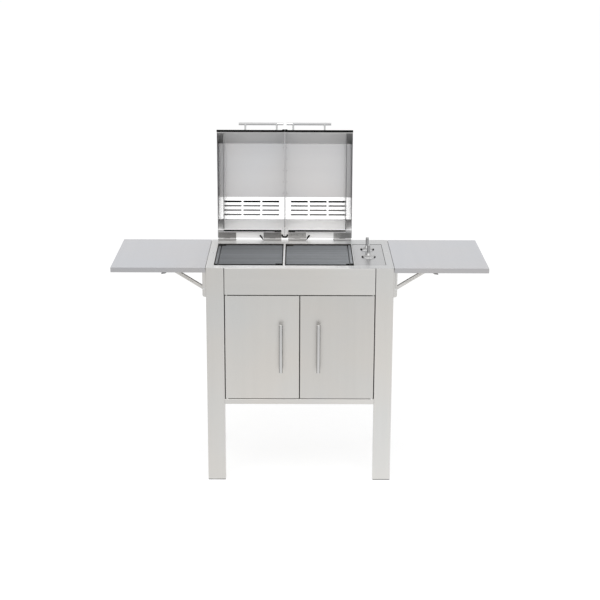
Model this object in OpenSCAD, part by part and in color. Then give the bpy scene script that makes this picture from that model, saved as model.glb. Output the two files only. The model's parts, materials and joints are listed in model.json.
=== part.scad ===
// Electric grill with two hinged lids on a cabinet stand with folding side shelves.
// Millimetres, +Z up, front towards -Y, standing on Z = 0.

/* [Stand] */
// Depth from the front face to the back face
stand_d = 485; // [470:1:560]
// Height of the deck above the floor
top_z = 905; // [860:1:950]
// Width of a front leg as seen from the front
leg_w = 72; // [60:1:90]
// Depth of every leg
leg_d = 36; // [32:1:37]
// Width of a back leg
back_leg_w = 45; // [36:1:50]
// Wall of the leg tubes
leg_wall = 1.5; // [1.2:0.1:3]
// Corner radius of the leg tubes
leg_r = 3; // [2:0.5:5]
// Thickness of a foot plate under a leg
foot_h = 3; // [2:0.5:6]
// Thickness of the panel sheets
sheet_t = 1.2; // [1:0.1:2]

/* [Cabinet] */
// Height of the front apron
apron_h = 111; // [100:1:130]
// Gap between the apron and each front leg
apron_gap = 2; // [0.5:0.25:3]
// Height of the bottom rail
rail_h = 22; // [18:1:30]
// Height of the free legs under the bottom rail
leg_free = 331; // [280:1:380]
// Depth of a door
door_t = 18; // [16:0.5:22]
// Gap round each door
door_gap = 3; // [3:0.25:5]
// Distance of a door pivot from the edge and from the face of the door
pivot_in = 6.5; // [6:0.25:8]
// Diameter of a door pivot pin
pivot_d = 6; // [5:0.5:7]
// Length of a door handle bar
door_bar_l = 202; // [150:1:260]
// Diameter of a door handle bar
door_bar_d = 14; // [10:0.5:16]
// Distance of the door handle axis from the door
door_bar_out = 32; // [26:1:40]
// Distance of the door handle axis from the free edge of its door
door_bar_in = 74; // [60:1:100]

/* [Deck] */
// Thickness of the deck sheet
deck_t = 1.5; // [1.2:0.1:2.5]
// Width of the deck strip at each side
side_strip = 30; // [26:1:40]
// Width of the deck strip at the front
front_strip = 40; // [39:1:50]
// Width of a grill opening
open_w = 277; // [250:1:280]
// Depth of a grill opening
open_d = 368; // [340:1:370]
// Width of the bar between the grill openings
bar_w = 8; // [7:0.5:12]
// Width of the bar beside the control panel
panel_bar = 5; // [4:0.5:8]
// Width of the opening for the control panel
panel_w = 123; // [108:1:170]
// Distance of the control panel from the front and back lines of the openings
panel_in = 8; // [4:1:20]
// Gap round the control panel
panel_gap = 1; // [0.5:0.1:2]

/* [Grill] */
// Depth of a fire box below the deck
fire_h = 98; // [90:1:105]
// Distance of a plate's top below the deck
plate_drop = 3.5; // [2:0.5:6]
// Thickness of the solid floor of a plate
plate_t = 9; // [7:0.5:11]
// Height of the ribs of a plate
rib_h = 4; // [3:0.5:5]
// Pitch of the ribs
rib_pitch = 12; // [10:0.5:16]
// Gap between a plate and its opening
plate_gap = 0.8; // [0.5:0.1:2]
// Diameter of a heating element tube
tube_d = 8.5; // [6:0.5:10]
// Distance between the runs of a heating element
run_pitch = 56; // [40:1:64]
// Width of a drip tray
tray_w = 220; // [180:1:230]
// Height of a drip tray
tray_h = 26; // [20:1:34]

/* [Lids] */
// Reach of a lid beyond the outer side of its grill opening
lid_over = 5.8; // [2:0.2:6]
// Gap between the lids
lid_gap = 1; // [0.8:0.1:4]
// Height of a lid above its rim
lid_h = 125; // [110:1:140]
// Distance of the closed lid from the front edge of the deck
lid_front = 4; // [2:1:10]
// Distance of the lid hinge axis from the back edge of the deck
hinge_back = 11; // [8:0.5:14]
// Run of the front slope of a lid
slope_run = 78; // [60:1:90]
// Run of the vented slope
vent_run = 90; // [86:1:110]
// Drop of the vented slope
vent_drop = 40; // [30:1:50]
// Run of the short back wall of a lid
skirt_run = 27; // [20:1:40]
// Width of the hinge flange of a lid
flange_w = 35; // [32:1:45]
// Length of a vent slot
slot_l = 74; // [60:1:76]
// Height of a vent slot
slot_h = 6; // [4:0.5:8]
// Distance of a vent slot's centre line from the next
slot_pitch = 19.4; // [16:0.2:21]
// Depth of the pressed hood outside a vent slot
louvre_h = 5; // [3:0.5:8]
// Distance of the inner baffle from the outer end of a lid
baffle_in = 26; // [22:1:30]
// Width of the weld flange of a lid's outer end cap
cap_flange = 12; // [8:1:16]
// Radius of the round tongue beside the seam at the back of a lid
tongue_r = 11; // [8:0.5:11]
// Thickness of the rubber buffer round a tongue
buffer_t = 3; // [2:0.5:3.5]
// Length of a lid handle bar
lid_bar_l = 190; // [160:1:220]
// Diameter of a lid handle bar
lid_bar_d = 12; // [10:0.5:14]
// Distance of the lid handle axis from the front slope
lid_bar_out = 50; // [40:1:60]
// Distance of the middle of a lid handle from the seam between the lids
lid_bar_x = 101; // [100:1:150]

/* [Hinges] */
// Length of a lid hinge
hinge_l = 75; // [60:1:80]
// Thickness of a hinge leaf
leaf_t = 2; // [1.5:0.1:2.2]
// Radius of a hinge knuckle
knuckle_r = 4; // [3.6:0.1:4.2]
// Diameter of a lid hinge pin
hinge_pin_d = 4; // [3:0.25:5]
// Width of the fixed leaf
fixed_leaf_w = 20; // [16:1:24]
// Width of the moving leaf
moving_leaf_w = 28; // [24:1:30]

/* [Side shelves] */
// Length of a side shelf
shelf_l = 376; // [300:1:420]
// Height of the shelf's rim
shelf_h = 20; // [20:1:26]
// Gap between a shelf and the deck
shelf_gap = 2; // [1.5:0.25:4]
// Distance of a bracket's middle from the front or back of the stand
bracket_in = 20; // [17:0.5:22]
// Distance of the shelf pivot from the leg
pivot_out = 8; // [7.5:0.25:9]
// Height of the strut pivot below the shelf pivot
strut_drop = 72; // [66:1:80]
// Distance of the strut's sliding end from the shelf pivot
strut_reach = 115; // [105:1:125]
// Length of a shelf arm beyond the shelf pivot
arm_l = 224; // [218:1:240]
// Distance of the lever pivot beyond the strut's sliding end
lever_on = 7; // [5:1:20]

/* [Controls] */
// Diameter of a knob's skirt
knob_d = 48; // [36:1:52]
// Reach of the dial ring beyond the knob's skirt
ring_over = 5; // [2:0.5:6]
// Height of a knob
knob_h = 50; // [40:1:60]
// Diameter of a knob's stem
stem_d = 13; // [12:0.5:16]
// Distance between the knobs
knob_pitch = 129; // [100:1:150]
// Distance of the middle between the knobs from the front
knob_mid = 248; // [220:1:270]
// Diameter of a control shaft
shaft_d = 6; // [5:0.5:6]
// Width of a regulator
reg_w = 44; // [36:1:50]
// Depth of a regulator from front to back
reg_d = 40; // [32:1:48]
// Height of a regulator's body
reg_h = 30; // [24:1:36]
// Width of the terminal box
term_w = 76; // [60:1:76]
// Height of the terminal box
term_h = 66; // [50:1:70]
// Depth of the terminal box
term_d = 46; // [36:1:54]
// Diameter of the thread of the cable gland
gland_d = 16; // [16:1:20]
// Bore of the cable gland
gland_bore = 9; // [7:0.5:10]

/* [Hidden] */
$fn = 32;

// Radius of a press-brake fold, and the number of flats that draw it
fold_r = 2.4;
fold_n = 3;
// Running clearance on the radius of a pin, and the gap at a loose seat
run = 0.05;
seat = 0.3;
// A little more than nothing, so that a cut passes a face
eps = 0.5;

// Half widths and edges that the pieces share
stand_w = 2 * side_strip + 2 * open_w + bar_w + panel_bar + panel_w;
half_w = stand_w / 2;
inner_x = half_w - leg_w;
under_deck = top_z - deck_t;
apron_z = under_deck - apron_h;
floor_z = leg_free + rail_h;
door_z0 = floor_z + door_gap;
door_z1 = apron_z - door_gap;
door_x0 = inner_x - door_gap;
door_x1 = door_gap / 2;
panel_inset = 3;
panel_x = half_w - panel_inset;
back_y = stand_d - sheet_t;
back_leg_y = stand_d - leg_d;
apron_flange = 24;

// Openings of the deck, from left to right
open_x0 = -half_w + side_strip;
open_x1 = open_x0 + open_w;
seam_x = open_x1 + bar_w / 2;
open_x2 = open_x1 + bar_w;
open_x3 = open_x2 + open_w;
panel_x0 = open_x3 + panel_bar;
panel_x1 = half_w - side_strip;
open_y0 = front_strip;
open_y1 = front_strip + open_d;
ledge_w = 6;

// Grill plates and what carries them
fire_z = under_deck - fire_h;
plate_top = top_z - plate_drop;
plate_z = plate_top - plate_t - rib_h;
ledge_z = plate_z - seat;
plate_ledge_w = 9;
tube_drop = 18;
tube_z = ledge_z - tube_drop;
run_n = 4;
half_run = run_pitch * (run_n - 1) / 2;
run_in_front = 50;
run_in_back = 62;
run_y0 = open_y0 + run_in_front;
run_y1 = open_y1 - run_in_back;
cold_end = 30;
cold_end_y = open_y1 + sheet_t + cold_end;
stud_l = 9;
stud_d = 3.5;
support_in = 20;
support_w = 12;
support_h = 14;
support_t = 3;

// Drip trays
tray_rim = 8;
tray_z1 = fire_z - 6;
tray_z0 = tray_z1 - tray_h;
tray_y0 = 60;
tray_slot_h = tray_h + 6;
tray_slot_r = 3;
tray_face_over = 7;
tray_face_down = 12;
tray_face_up = 10;
tray_lip = 16;
tray_x = [(open_x0 + open_x1) / 2, (open_x2 + open_x3) / 2];
tray_front_w = tray_w + 2 * (tray_rim + tray_face_over);

// Lid in its own frame: x from the seam outwards, the hinge axis at 0, the closed rim plane at rim_w
lid_w = open_w + (bar_w - lid_gap) / 2 + lid_over;
lid_open = 90;
hinge_y = stand_d - hinge_back;
hinge_rise = knuckle_r + 0.5;
hinge_z = top_z + hinge_rise;
rim_w = hinge_rise;
lid_len = hinge_y - lid_front;
flange_u0 = 5;
flange_u1 = flange_u0 + flange_w;
rim_flange = 13;
seal_drop = rim_w + hinge_rise - seat;
lid_points = [
  [-(lid_len - rim_flange), rim_w],
  [-lid_len, rim_w],
  [-(lid_len - slope_run), rim_w + lid_h],
  [-(flange_u1 + skirt_run + vent_run), rim_w + lid_h],
  [-(flange_u1 + skirt_run), rim_w + lid_h - vent_drop],
  [-flange_u1, rim_w + sheet_t],
  [-flange_u0, rim_w + sheet_t]
];
slope_a = atan2(lid_h, slope_run);
slope_at = 0.36;
vent_a = atan2(vent_drop, vent_run);
vent_l = norm([vent_drop, vent_run]);
slot_rows = 4;
slot_cols = 3;
slot_step = slot_l + 7.6;
hinge_x = [15, lid_w - hinge_l - 3];
third = hinge_l / 3;

// Side shelf and its brackets, drawn for the right side
shelf_x0 = half_w + shelf_gap;
shelf_x1 = shelf_x0 + shelf_l;
pivot_x = half_w + pivot_out;
pivot_z = top_z - shelf_h + 4;
strut_z = pivot_z - strut_drop;
strut_a = atan2(strut_drop, strut_reach);
strut_l = norm([strut_drop, strut_reach]);
channel_t = 1.5;
wall_arm_t = 2;
side_gap = 1;
strut_hw = 9;
arm_hw = strut_hw + side_gap + channel_t;
wall_hw = arm_hw + side_gap + wall_arm_t;
arm_end_r = 6;
bracket_pin_d = 5;
bracket_y = [bracket_in, stand_d - bracket_in];
lever_rise = 8.5;
lever_x = pivot_x + strut_reach + lever_on;
lever_z = pivot_z + lever_rise;
lever_a = 33;
lever_t = 3;
lever_w = 12;
lever_l = 41;
lever_eye_r = 4.5;
lever_pin_d = 4;
lever_y0 = arm_hw + seat;
lever_y1 = lever_y0 + lever_w;

// Controls
knob_x = (panel_x0 + panel_x1) / 2 - 2;
knob_y = [knob_mid - knob_pitch / 2, knob_mid + knob_pitch / 2];
ring_t = 2;
knob_z = top_z + ring_t + seat;

// Middle of the whole object from front to back, with the lids open
y_front = -(door_bar_out + door_bar_d / 2);
y_back = hinge_y + rim_w + lid_h;
y_mid = (y_front + y_back) / 2;

// Colours
steel = [0.78, 0.78, 0.76];
shelf_steel = [0.80, 0.80, 0.82];
bright = [0.90, 0.90, 0.90];
dark = [0.22, 0.22, 0.23];
iron = [0.40, 0.41, 0.43];
black = [0.05, 0.05, 0.05];

// Sheet metal: a bent strip of thickness t to the right of a line of points
function dir(a, b) = (b - a) / norm(b - a);
function left_of(d) = [-d.y, d.x];
function turned(v, a) = [v.x * cos(a) - v.y * sin(a), v.x * sin(a) + v.y * cos(a)];
function turn_between(d, e) = atan2(d.x * e.y - d.y * e.x, d * e);
function corner(a, b, c, r, n) =
  let (d = dir(a, b), e = dir(b, c), t = turn_between(d, e))
  let (p = b - r * tan(abs(t) / 2) * d)
  let (m = p + sign(t) * r * left_of(d))
  [for (i = [0:n]) m + turned(p - m, t * i / n)];
function bent(p, r = fold_r, n = fold_n) =
  concat(
    [p[0]],
    [for (i = [1:len(p) - 2]) each corner(p[i - 1], p[i], p[i + 1], r, n)],
    [p[len(p) - 1]]
  );
function beside(p, i, t) =
  let (d = dir(p[max(i - 1, 0)], p[max(i, 1)]))
  let (e = dir(p[min(i, len(p) - 2)], p[min(i + 1, len(p) - 1)]))
  p[i] - t * (left_of(d) + left_of(e)) / (1 + d * e);
function strip_of(p, t) = concat(p, [for (i = [len(p) - 1:-1:0]) beside(p, i, t)]);

module sheet(p, t = sheet_t) polygon(strip_of(bent(p), t));

// A flat shape drawn in Y and Z, in X and Z, or in X and Y, made solid between two planes
module along_x(x0, x1) translate([x0, 0, 0]) rotate([90, 0, 90]) linear_extrude(x1 - x0) children();
module along_y(y0, y1) translate([0, y1, 0]) rotate([90, 0, 0]) linear_extrude(y1 - y0) children();
module along_z(z0, z1) translate([0, 0, z0]) linear_extrude(z1 - z0) children();

module box(x0, x1, y0, y1, z0, z1) translate([x0, y0, z0]) cube([x1 - x0, y1 - y0, z1 - z0]);
module pin_x(x0, x1, y, z, d) translate([x0, y, z]) rotate([0, 90, 0]) cylinder(h = x1 - x0, d = d);
module pin_y(x, y0, y1, z, d) translate([x, y1, z]) rotate([90, 0, 0]) cylinder(h = y1 - y0, d = d);
module pin_z(x, y, z0, z1, d) translate([x, y, z0]) cylinder(h = z1 - z0, d = d);

// Rectangle with round corners, and a slot with round ends, both about the origin
module rounded(w, d, r) {
  square([w - 2 * r, d], center = true);
  square([w, d - 2 * r], center = true);
  for (x = [-1, 1], y = [-1, 1])
    translate([x * (w / 2 - r), y * (d / 2 - r)]) circle(r);
}
module slot(l, h) {
  square([l - h, h], center = true);
  for (x = [-1, 1])
    translate([x * (l - h) / 2, 0]) circle(d = h);
}

// Puts the stand, drawn with its front face at Y = 0, round the middle of the whole object
module placed() translate([0, -y_mid, 0]) children();
module on_side(side) mirror([side < 0 ? 1 : 0, 0, 0]) children();
module both_sides() {
  on_side(-1) children();
  on_side(1) children();
}

module leg(x0, x1, y0, y1) {
  translate([(x0 + x1) / 2, (y0 + y1) / 2, foot_h])
    linear_extrude(under_deck - foot_h)
      difference() {
        rounded(x1 - x0, y1 - y0, leg_r);
        rounded(x1 - x0 - 2 * leg_wall, y1 - y0 - 2 * leg_wall, leg_r - leg_wall / 2);
      }
}
module front_leg(side) placed() color(steel) on_side(side) leg(inner_x, half_w, 0, leg_d);
module back_legs() placed() color(steel) both_sides() leg(half_w - back_leg_w, half_w, back_leg_y, stand_d);

// A foot is a plastic plate with a plug that sits in the leg tube
module foot(x0, x1, y0, y1) {
  plug = leg_wall + seat;
  translate([(x0 + x1) / 2, (y0 + y1) / 2, 0]) {
    linear_extrude(foot_h) rounded(x1 - x0 - 1, y1 - y0 - 1, leg_r);
    linear_extrude(foot_h + foot_plug_h)
      rounded(x1 - x0 - 2 * plug, y1 - y0 - 2 * plug, leg_r - leg_wall / 2);
  }
}
foot_plug_h = 20;
module feet() placed() color(black) both_sides() {
  foot(inner_x, half_w, 0, leg_d);
  foot(half_w - back_leg_w, half_w, back_leg_y, stand_d);
}

// The apron hangs from the deck by its upper flange; its lower flange holds the upper door pivots
module front_apron() placed() color(steel)
  difference() {
    along_x(-inner_x + apron_gap, inner_x - apron_gap)
      sheet([[apron_flange, apron_z], [0, apron_z], [0, under_deck], [apron_flange, under_deck]]);
    both_sides() pivot_bore();
  }

side_flange_in = 5;
module side_panels() placed() color(steel) both_sides()
  along_z(leg_free, under_deck)
    sheet([
      [half_w - back_leg_w + side_flange_in, back_leg_y],
      [panel_x, back_leg_y],
      [panel_x, leg_d],
      [inner_x + side_flange_in, leg_d]
    ]);

// The back panel has a flange along each back leg, two tray slots, the gland hole and rows of vents
back_x = half_w - back_leg_w;
back_flange = 14;
back_vent_l = 120;
back_vent_h = 7;
back_vent_x = 150;
back_vent_pitch = 22;
back_vent_up = 60;
back_vent_z = floor_z + back_vent_up;
module back_panel() placed() color(steel) {
  along_y(back_y, stand_d)
    difference() {
      translate([-back_x, leg_free]) square([2 * back_x, under_deck - leg_free]);
      for (x = tray_x)
        translate([x, (tray_z0 + tray_z1) / 2])
          rounded(tray_w + 2 * tray_rim + 4, tray_slot_h, tray_slot_r);
      translate([gland_x, gland_z]) circle(d = gland_d + 2 * run);
      for (x = [-1, 1], row = [0:4])
        translate([x * back_vent_x, back_vent_z + row * back_vent_pitch]) slot(back_vent_l, back_vent_h);
    }
  both_sides()
    box(back_x - sheet_t, back_x, back_y - back_flange, back_y + sheet_t / 2, leg_free, under_deck);
}

// The floor is one folded sheet: its front fold is the bottom rail below the doors
floor_flange = 14;
module cabinet_floor() placed() color(steel)
  difference() {
    union() {
      along_x(-inner_x, inner_x)
        sheet([
          [floor_flange, leg_free], [0, leg_free], [0, floor_z],
          [back_y, floor_z], [back_y, floor_z - floor_flange]
        ]);
      both_sides() along_z(floor_z - sheet_t, floor_z) floor_ear();
    }
    both_sides() pivot_bore();
  }
// The ear of the floor goes round the legs and stops at the side panel
module floor_ear() {
  x1 = panel_x - sheet_t;
  x2 = back_x - sheet_t;
  y0 = leg_d + sheet_t;
  y1 = back_leg_y - sheet_t;
  polygon([
    [inner_x - eps, y0], [x1 - fold_r, y0], [x1, y0 + fold_r], [x1, y1 - fold_r],
    [x1 - fold_r, y1], [x2, y1], [x2, back_y - fold_r], [inner_x - eps, back_y - fold_r]
  ]);
}

// The deck has two grill openings and a control opening with a ledge for its panel
module deck() placed() color(steel)
  difference() {
    union() {
      along_z(under_deck, top_z) translate([0, stand_d / 2]) rounded(stand_w, stand_d, 2);
      box(panel_x0 - ledge_w / 2, panel_x1 + ledge_w, open_y0 + panel_in - ledge_w,
          open_y1 - panel_in + ledge_w, under_deck - sheet_t, under_deck + eps);
    }
    for (x = [open_x0, open_x2])
      box(x, x + open_w, open_y0, open_y1, under_deck - eps, top_z + eps);
    box(panel_x0, panel_x1, open_y0 + panel_in, open_y1 - panel_in, under_deck, top_z + eps);
    box(panel_x0 + ledge_w, panel_x1 - ledge_w, open_y0 + panel_in + ledge_w,
        open_y1 - panel_in - ledge_w, under_deck - 2 * eps - sheet_t, under_deck + eps);
    deck_screw_places() pin_z(0, 0, under_deck - eps, top_z + eps, 4 + 4 * run);
  }
module deck_screw_places()
  for (side = [-1, 1])
    translate([side * (half_w - side_strip / 2), knob_mid, 0]) children();
module deck_screws() placed() color(bright) deck_screw_places() {
  pin_z(0, 0, under_deck - 9, top_z + eps / 2, 4);
  translate([0, 0, top_z])
    rotate_extrude() polygon([[0, 0], [4.2, 0], [3.4, 1.1], [1.6, 1.6], [0, 1.7]]);
}

module control_panel() placed() color(steel)
  along_z(under_deck, top_z)
    difference() {
      translate([(panel_x0 + panel_x1) / 2, (open_y0 + open_y1) / 2])
        rounded(panel_x1 - panel_x0 - 2 * panel_gap, open_d - 2 * panel_in - 2 * panel_gap, 2);
      for (y = knob_y)
        translate([knob_x, y]) circle(d = shaft_d + 1);
    }

// A fire box hangs below its opening, with ledges for the plate and an outlet over the drip tray
outlet_w = 180;
outlet_d = 250;
outlet_r = 12;
module fire_box(x0) {
  x1 = x0 + open_w;
  xm = (x0 + x1) / 2;
  t = sheet_t;
  placed() color(steel)
    difference() {
      union() {
        difference() {
          box(x0 - t, x1 + t, open_y0 - t, open_y1 + t, fire_z, under_deck);
          box(x0, x1, open_y0, open_y1, fire_z + t, under_deck + eps);
        }
        for (y = [open_y0, open_y1 - plate_ledge_w])
          box(x0 - t / 2, x1 + t / 2, y, y + plate_ledge_w, ledge_z - t, ledge_z);
      }
      along_z(fire_z - eps, fire_z + t + eps)
        translate([xm, (open_y0 + open_y1) / 2]) rounded(outlet_w, outlet_d, outlet_r);
      for (s = [-1, 1])
        pin_y(xm + s * half_run, open_y1 - eps, open_y1 + t + eps, tube_z, tube_d + 4 * run);
    }
}

// A heating element is one tube in four runs; both cold ends leave through the back of the fire box
module element(xm) {
  first = xm - half_run;
  collar = [2.8 * tube_d, 1.9 * tube_d];
  placed() color(dark) {
    for (i = [0:run_n - 1])
      pin_y(first + i * run_pitch, run_y0, i == 0 || i == run_n - 1 ? cold_end_y : run_y1, tube_z, tube_d);
    for (i = [0:2:run_n - 2])
      translate([first + (i + 0.5) * run_pitch, run_y0, tube_z]) rotate([0, 0, 180]) u_bend();
    for (i = [1:2:run_n - 2])
      translate([first + (i + 0.5) * run_pitch, run_y1, tube_z]) u_bend();
    for (x = [xm - half_run, xm + half_run]) {
      along_y(open_y1 + sheet_t, open_y1 + sheet_t + 2.5)
        translate([x, tube_z]) rounded(collar.x, collar.y, 3);
      pin_y(x, cold_end_y, cold_end_y + stud_l, tube_z, stud_d);
    }
  }
}
module u_bend()
  rotate_extrude(angle = 180) translate([run_pitch / 2, 0]) circle(d = tube_d);

module element_supports() placed() color(steel)
  for (x0 = [open_x0, open_x2], y = [run_y0 + support_in, run_y1 - support_in - support_w])
    along_y(y, y + support_w) translate([x0, tube_z - tube_d / 2 - seat]) {
      translate([0, -support_t]) square([open_w, support_t]);
      for (x = [0, open_w - support_t])
        translate([x, -support_h]) square([support_t, support_h]);
    }

// A plate is cast iron: fine ribs across, a rim along its outer side, and a notch at two corners
notch_l = 30;
notch_w = 14;
rim_strip = 12;
rim_groove = 5;
module grill_plate(x0, outer) {
  w = open_w - 2 * plate_gap;
  d = open_d - 2 * plate_gap;
  rib_n = floor((d - 16) / rib_pitch);
  margin = (d - (rib_n - 1) * rib_pitch) / 2;
  ribs_x0 = outer < 0 ? rim_strip + rim_groove : 4;
  ribs_x1 = outer < 0 ? w - 4 : w - rim_strip - rim_groove;
  rim_x0 = outer < 0 ? 0 : w - rim_strip;
  foot = plate_t - 1;
  placed() color(iron) translate([x0 + plate_gap, open_y0 + plate_gap, plate_z])
    difference() {
      union() {
        cube([w, d, plate_t]);
        along_x(ribs_x0, ribs_x1) for (i = [0:rib_n - 1])
          translate([margin + i * rib_pitch, foot]) rib();
        box(rim_x0, rim_x0 + rim_strip, 0, d, foot, plate_t + rib_h);
        for (y = [0, d - 3])
          box(0, w, y, y + 3, foot, plate_t + rib_h - 1);
      }
      for (end = [0, 1])
        translate([end ? w : 0, end ? 0 : d])
          along_z(-eps, plate_t + rib_h + eps) notch(end ? -1 : 1, end ? 1 : -1);
    }
}
module rib()
  polygon([[-3.2, 0], [-2.2, rib_h], [-1.2, rib_h + 1], [1.2, rib_h + 1], [2.2, rib_h], [3.2, 0]]);
module notch(sx, sy) {
  translate([min(0, sx * (notch_l - notch_w / 2)), min(0, sy * notch_w)])
    square([notch_l - notch_w / 2, notch_w]);
  translate([min(0, sx * notch_l), min(0, sy * notch_w / 2)]) square([notch_l, notch_w / 2]);
  translate([sx * (notch_l - notch_w / 2), sy * notch_w / 2]) circle(notch_w / 2);
}

// Runners hang from the fire boxes and carry the rims of the drip trays
runner_z = tray_z1 - sheet_t - seat;
runner_gap = fold_r + seat;
module tray_runners() placed() color(steel)
  for (x = tray_x, side = [-1, 1])
    translate([x, 0, 0]) on_side(side)
      along_y(open_y0 + 6, open_y1)
        translate([tray_w / 2 + tray_rim + runner_gap, 0])
          sheet([[-tray_rim, runner_z], [0, runner_z], [0, fire_z], [12, fire_z]]);

// A drip tray is a pan with rims at its sides and a face plate that covers its slot
module drip_tray(x) {
  t = sheet_t;
  w = tray_w / 2;
  y1 = stand_d + seat;
  placed() color(bright) translate([x, 0, 0]) {
    difference() {
      union() {
        box(-w, w, tray_y0, y1 + t / 2, tray_z0, tray_z1);
        box(-w - tray_rim, w + tray_rim, tray_y0, back_y - 2, tray_z1 - t, tray_z1);
      }
      box(-w + t, w - t, tray_y0 + t, y1 - t, tray_z0 + t, tray_z1 + eps);
    }
    along_x(-tray_front_w / 2, tray_front_w / 2)
      sheet([
        [y1 + tray_lip, tray_z0 - tray_face_down], [y1, tray_z0 - tray_face_down],
        [y1, tray_z1 + tray_face_up]
      ]);
  }
}

// The shield keeps the heat of the right fire box from the controls
shield_x = panel_x0 + 2;
module heat_shield() placed() color(steel)
  along_y(open_y0 + 2, open_y1 - 2)
    sheet([[shield_x + 14, fire_z], [shield_x, fire_z], [shield_x, under_deck - sheet_t]]);

// A regulator is a switch body under the panel with a threaded neck; its shaft turns in it
neck_h = 6;
neck_d = 20;
shaft_in = 23;
shaft_up = 28;
tab_l = 10;
tab_w = 6;
tab_pitch = reg_w * 0.27;
reg_z1 = under_deck - neck_h;
reg_z0 = reg_z1 - reg_h;
tab_z = reg_z0 - tab_l;
module regulators() placed() color(dark)
  for (y = knob_y)
    translate([knob_x, y, 0])
      difference() {
        union() {
          along_z(reg_z0, reg_z1) rounded(reg_w, reg_d, 4);
          pin_z(0, 0, reg_z1 - eps, under_deck, neck_d);
          for (i = [-1:1])
            box(i * tab_pitch - tab_w / 2, i * tab_pitch + tab_w / 2, -0.5, 0.5, tab_z, reg_z0 + eps);
        }
        pin_z(0, 0, under_deck - shaft_in - 1, under_deck + eps, shaft_d + 2 * run);
      }
module shaft(y) placed() color(bright)
  pin_z(knob_x, y, under_deck - shaft_in, knob_z + shaft_up, shaft_d);

ring_r = knob_d / 2 + ring_over;
ring_bore_r = shaft_d / 2 + 1;
ring_edge = 0.8;
module knob_rings() placed() color(black)
  for (y = knob_y)
    translate([knob_x, y, top_z])
      rotate_extrude()
        polygon([
          [ring_bore_r, 0], [ring_r, 0], [ring_r - ring_edge, ring_t], [ring_bore_r, ring_t]
        ]);

// A knob is a turned body: a flared skirt that sweeps in to a slim stem with a domed end
flare_h = 19;
stem_r = stem_d / 2;
function flare(a) = [
  stem_r + (knob_d / 2 - 1.5 - stem_r) * (1 - sin(a)),
  3 + (flare_h - 3) * (1 - cos(a))
];
module knob(y) placed() color(bright)
  translate([knob_x, y, knob_z])
    difference() {
      rotate_extrude($fn = 48)
        polygon(concat(
          [[0, 0], [knob_d / 2, 0], [knob_d / 2, 2]],
          [for (a = [0:15:90]) flare(a)],
          [[stem_r, knob_h - 4], [stem_r - 0.8, knob_h - 1.6], [stem_r - 2.6, knob_h - 0.3], [0, knob_h]]
        ));
      translate([0, 0, -eps]) cylinder(h = shaft_up + 2 * eps, d = shaft_d + 2 * run);
    }

// Mains side: a box on the inside of the back panel and a gland through it
gland_x = back_x - term_w / 2 - 2;
gland_z = under_deck - term_h / 2 - 20.5;
gland_in = 7.5;
gland_nut_h = 6;
gland_out = 16;
module terminal_box() placed() color(dark)
  difference() {
    along_y(back_y - term_d, back_y) translate([gland_x, gland_z]) rounded(term_w, term_h, 5);
    pin_y(gland_x, back_y - gland_in - eps, back_y + eps, gland_z, gland_d + 2 * run);
  }
module cable_gland() placed() color(black)
  difference() {
    union() {
      pin_y(gland_x, back_y - gland_in, stand_d + gland_nut_h / 2, gland_z, gland_d);
      along_y(stand_d, stand_d + gland_nut_h)
        translate([gland_x, gland_z]) circle(d = gland_d + 9, $fn = 6);
      pin_y(gland_x, stand_d + gland_nut_h - 1, stand_d + gland_out, gland_z, gland_d + 3);
    }
    pin_y(gland_x, back_y - gland_in - eps, stand_d + gland_out + eps, gland_z, gland_bore);
  }

// Sleeved wires: one trunk from the terminal box below the regulators, one behind the fire boxes
trunk_d = 10;
lead_d = 4.6;
trunk_z = tab_z - trunk_d;
lead_y = cold_end_y + stud_l + trunk_d;
module wiring_loom() placed() color(black) {
  end = lead_d;
  pin_y(knob_x, knob_y[0] - trunk_d, back_y - term_d, trunk_z, trunk_d);
  for (y = knob_y) {
    pin_x(knob_x - tab_pitch - end, knob_x + tab_pitch + end, y, trunk_z, lead_d + 2);
    for (i = [-1:1])
      pin_z(knob_x + i * tab_pitch, y, trunk_z, tab_z, lead_d);
  }
  pin_x(tray_x[0] - half_run - end, gland_x - term_w / 2, lead_y, tube_z, trunk_d - 1);
  for (x = tray_x, s = [-1, 1])
    pin_y(x + s * half_run, cold_end_y + stud_l, lead_y, tube_z, lead_d);
}

// A door is a pan with lips at its sides; bushes in its ends run on the pivot pins
module door(side) placed() color(steel) on_side(side)
  difference() {
    union() {
      along_z(door_z0, door_z1)
        sheet([
          [door_x0 - door_lip, door_t], [door_x0, door_t], [door_x0, 0],
          [door_x1, 0], [door_x1, door_t], [door_x1 + door_lip, door_t]
        ]);
      for (z = [door_z0, door_z1 - sheet_t])
        box(door_x1 + sheet_t / 2, door_x0 - sheet_t / 2, sheet_t / 2, door_t, z, z + sheet_t);
      for (z = [door_z0, door_z1 - bush_h])
        pin_z(door_x0 - pivot_in, pivot_in, z, z + bush_h, pivot_d + bush_over);
      for (z = [door_bar_z0, door_bar_z1])
        pin_y(door_bar_x, sheet_t / 2, sheet_t + 2, z, door_pad_d);
      box(door_x1 + strike_x0, door_x1 + strike_x0 + strike_w, door_t - sheet_t, door_t,
          door_z1 - strike_h, door_z1 - sheet_t / 2);
    }
    pin_z(door_x0 - pivot_in, pivot_in, door_z0 - eps, door_z0 + bush_h + eps, pivot_d + 2 * run);
    pin_z(door_x0 - pivot_in, pivot_in, door_z1 - bush_h - eps, door_z1 + eps, pivot_d + 2 * run);
  }
door_lip = 14;
bush_h = 12;
bush_over = 5;
door_pad_d = 20;
door_post_d = 9;
door_post_in = 26;
strike_x0 = 6;
strike_w = 40;
strike_h = 22;
door_bar_x = door_x1 + door_bar_in;
door_bar_z = (door_z0 + door_z1) / 2 + 4;
door_bar_z0 = door_bar_z - door_bar_l / 2 + door_post_in;
door_bar_z1 = door_bar_z + door_bar_l / 2 - door_post_in;
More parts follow.
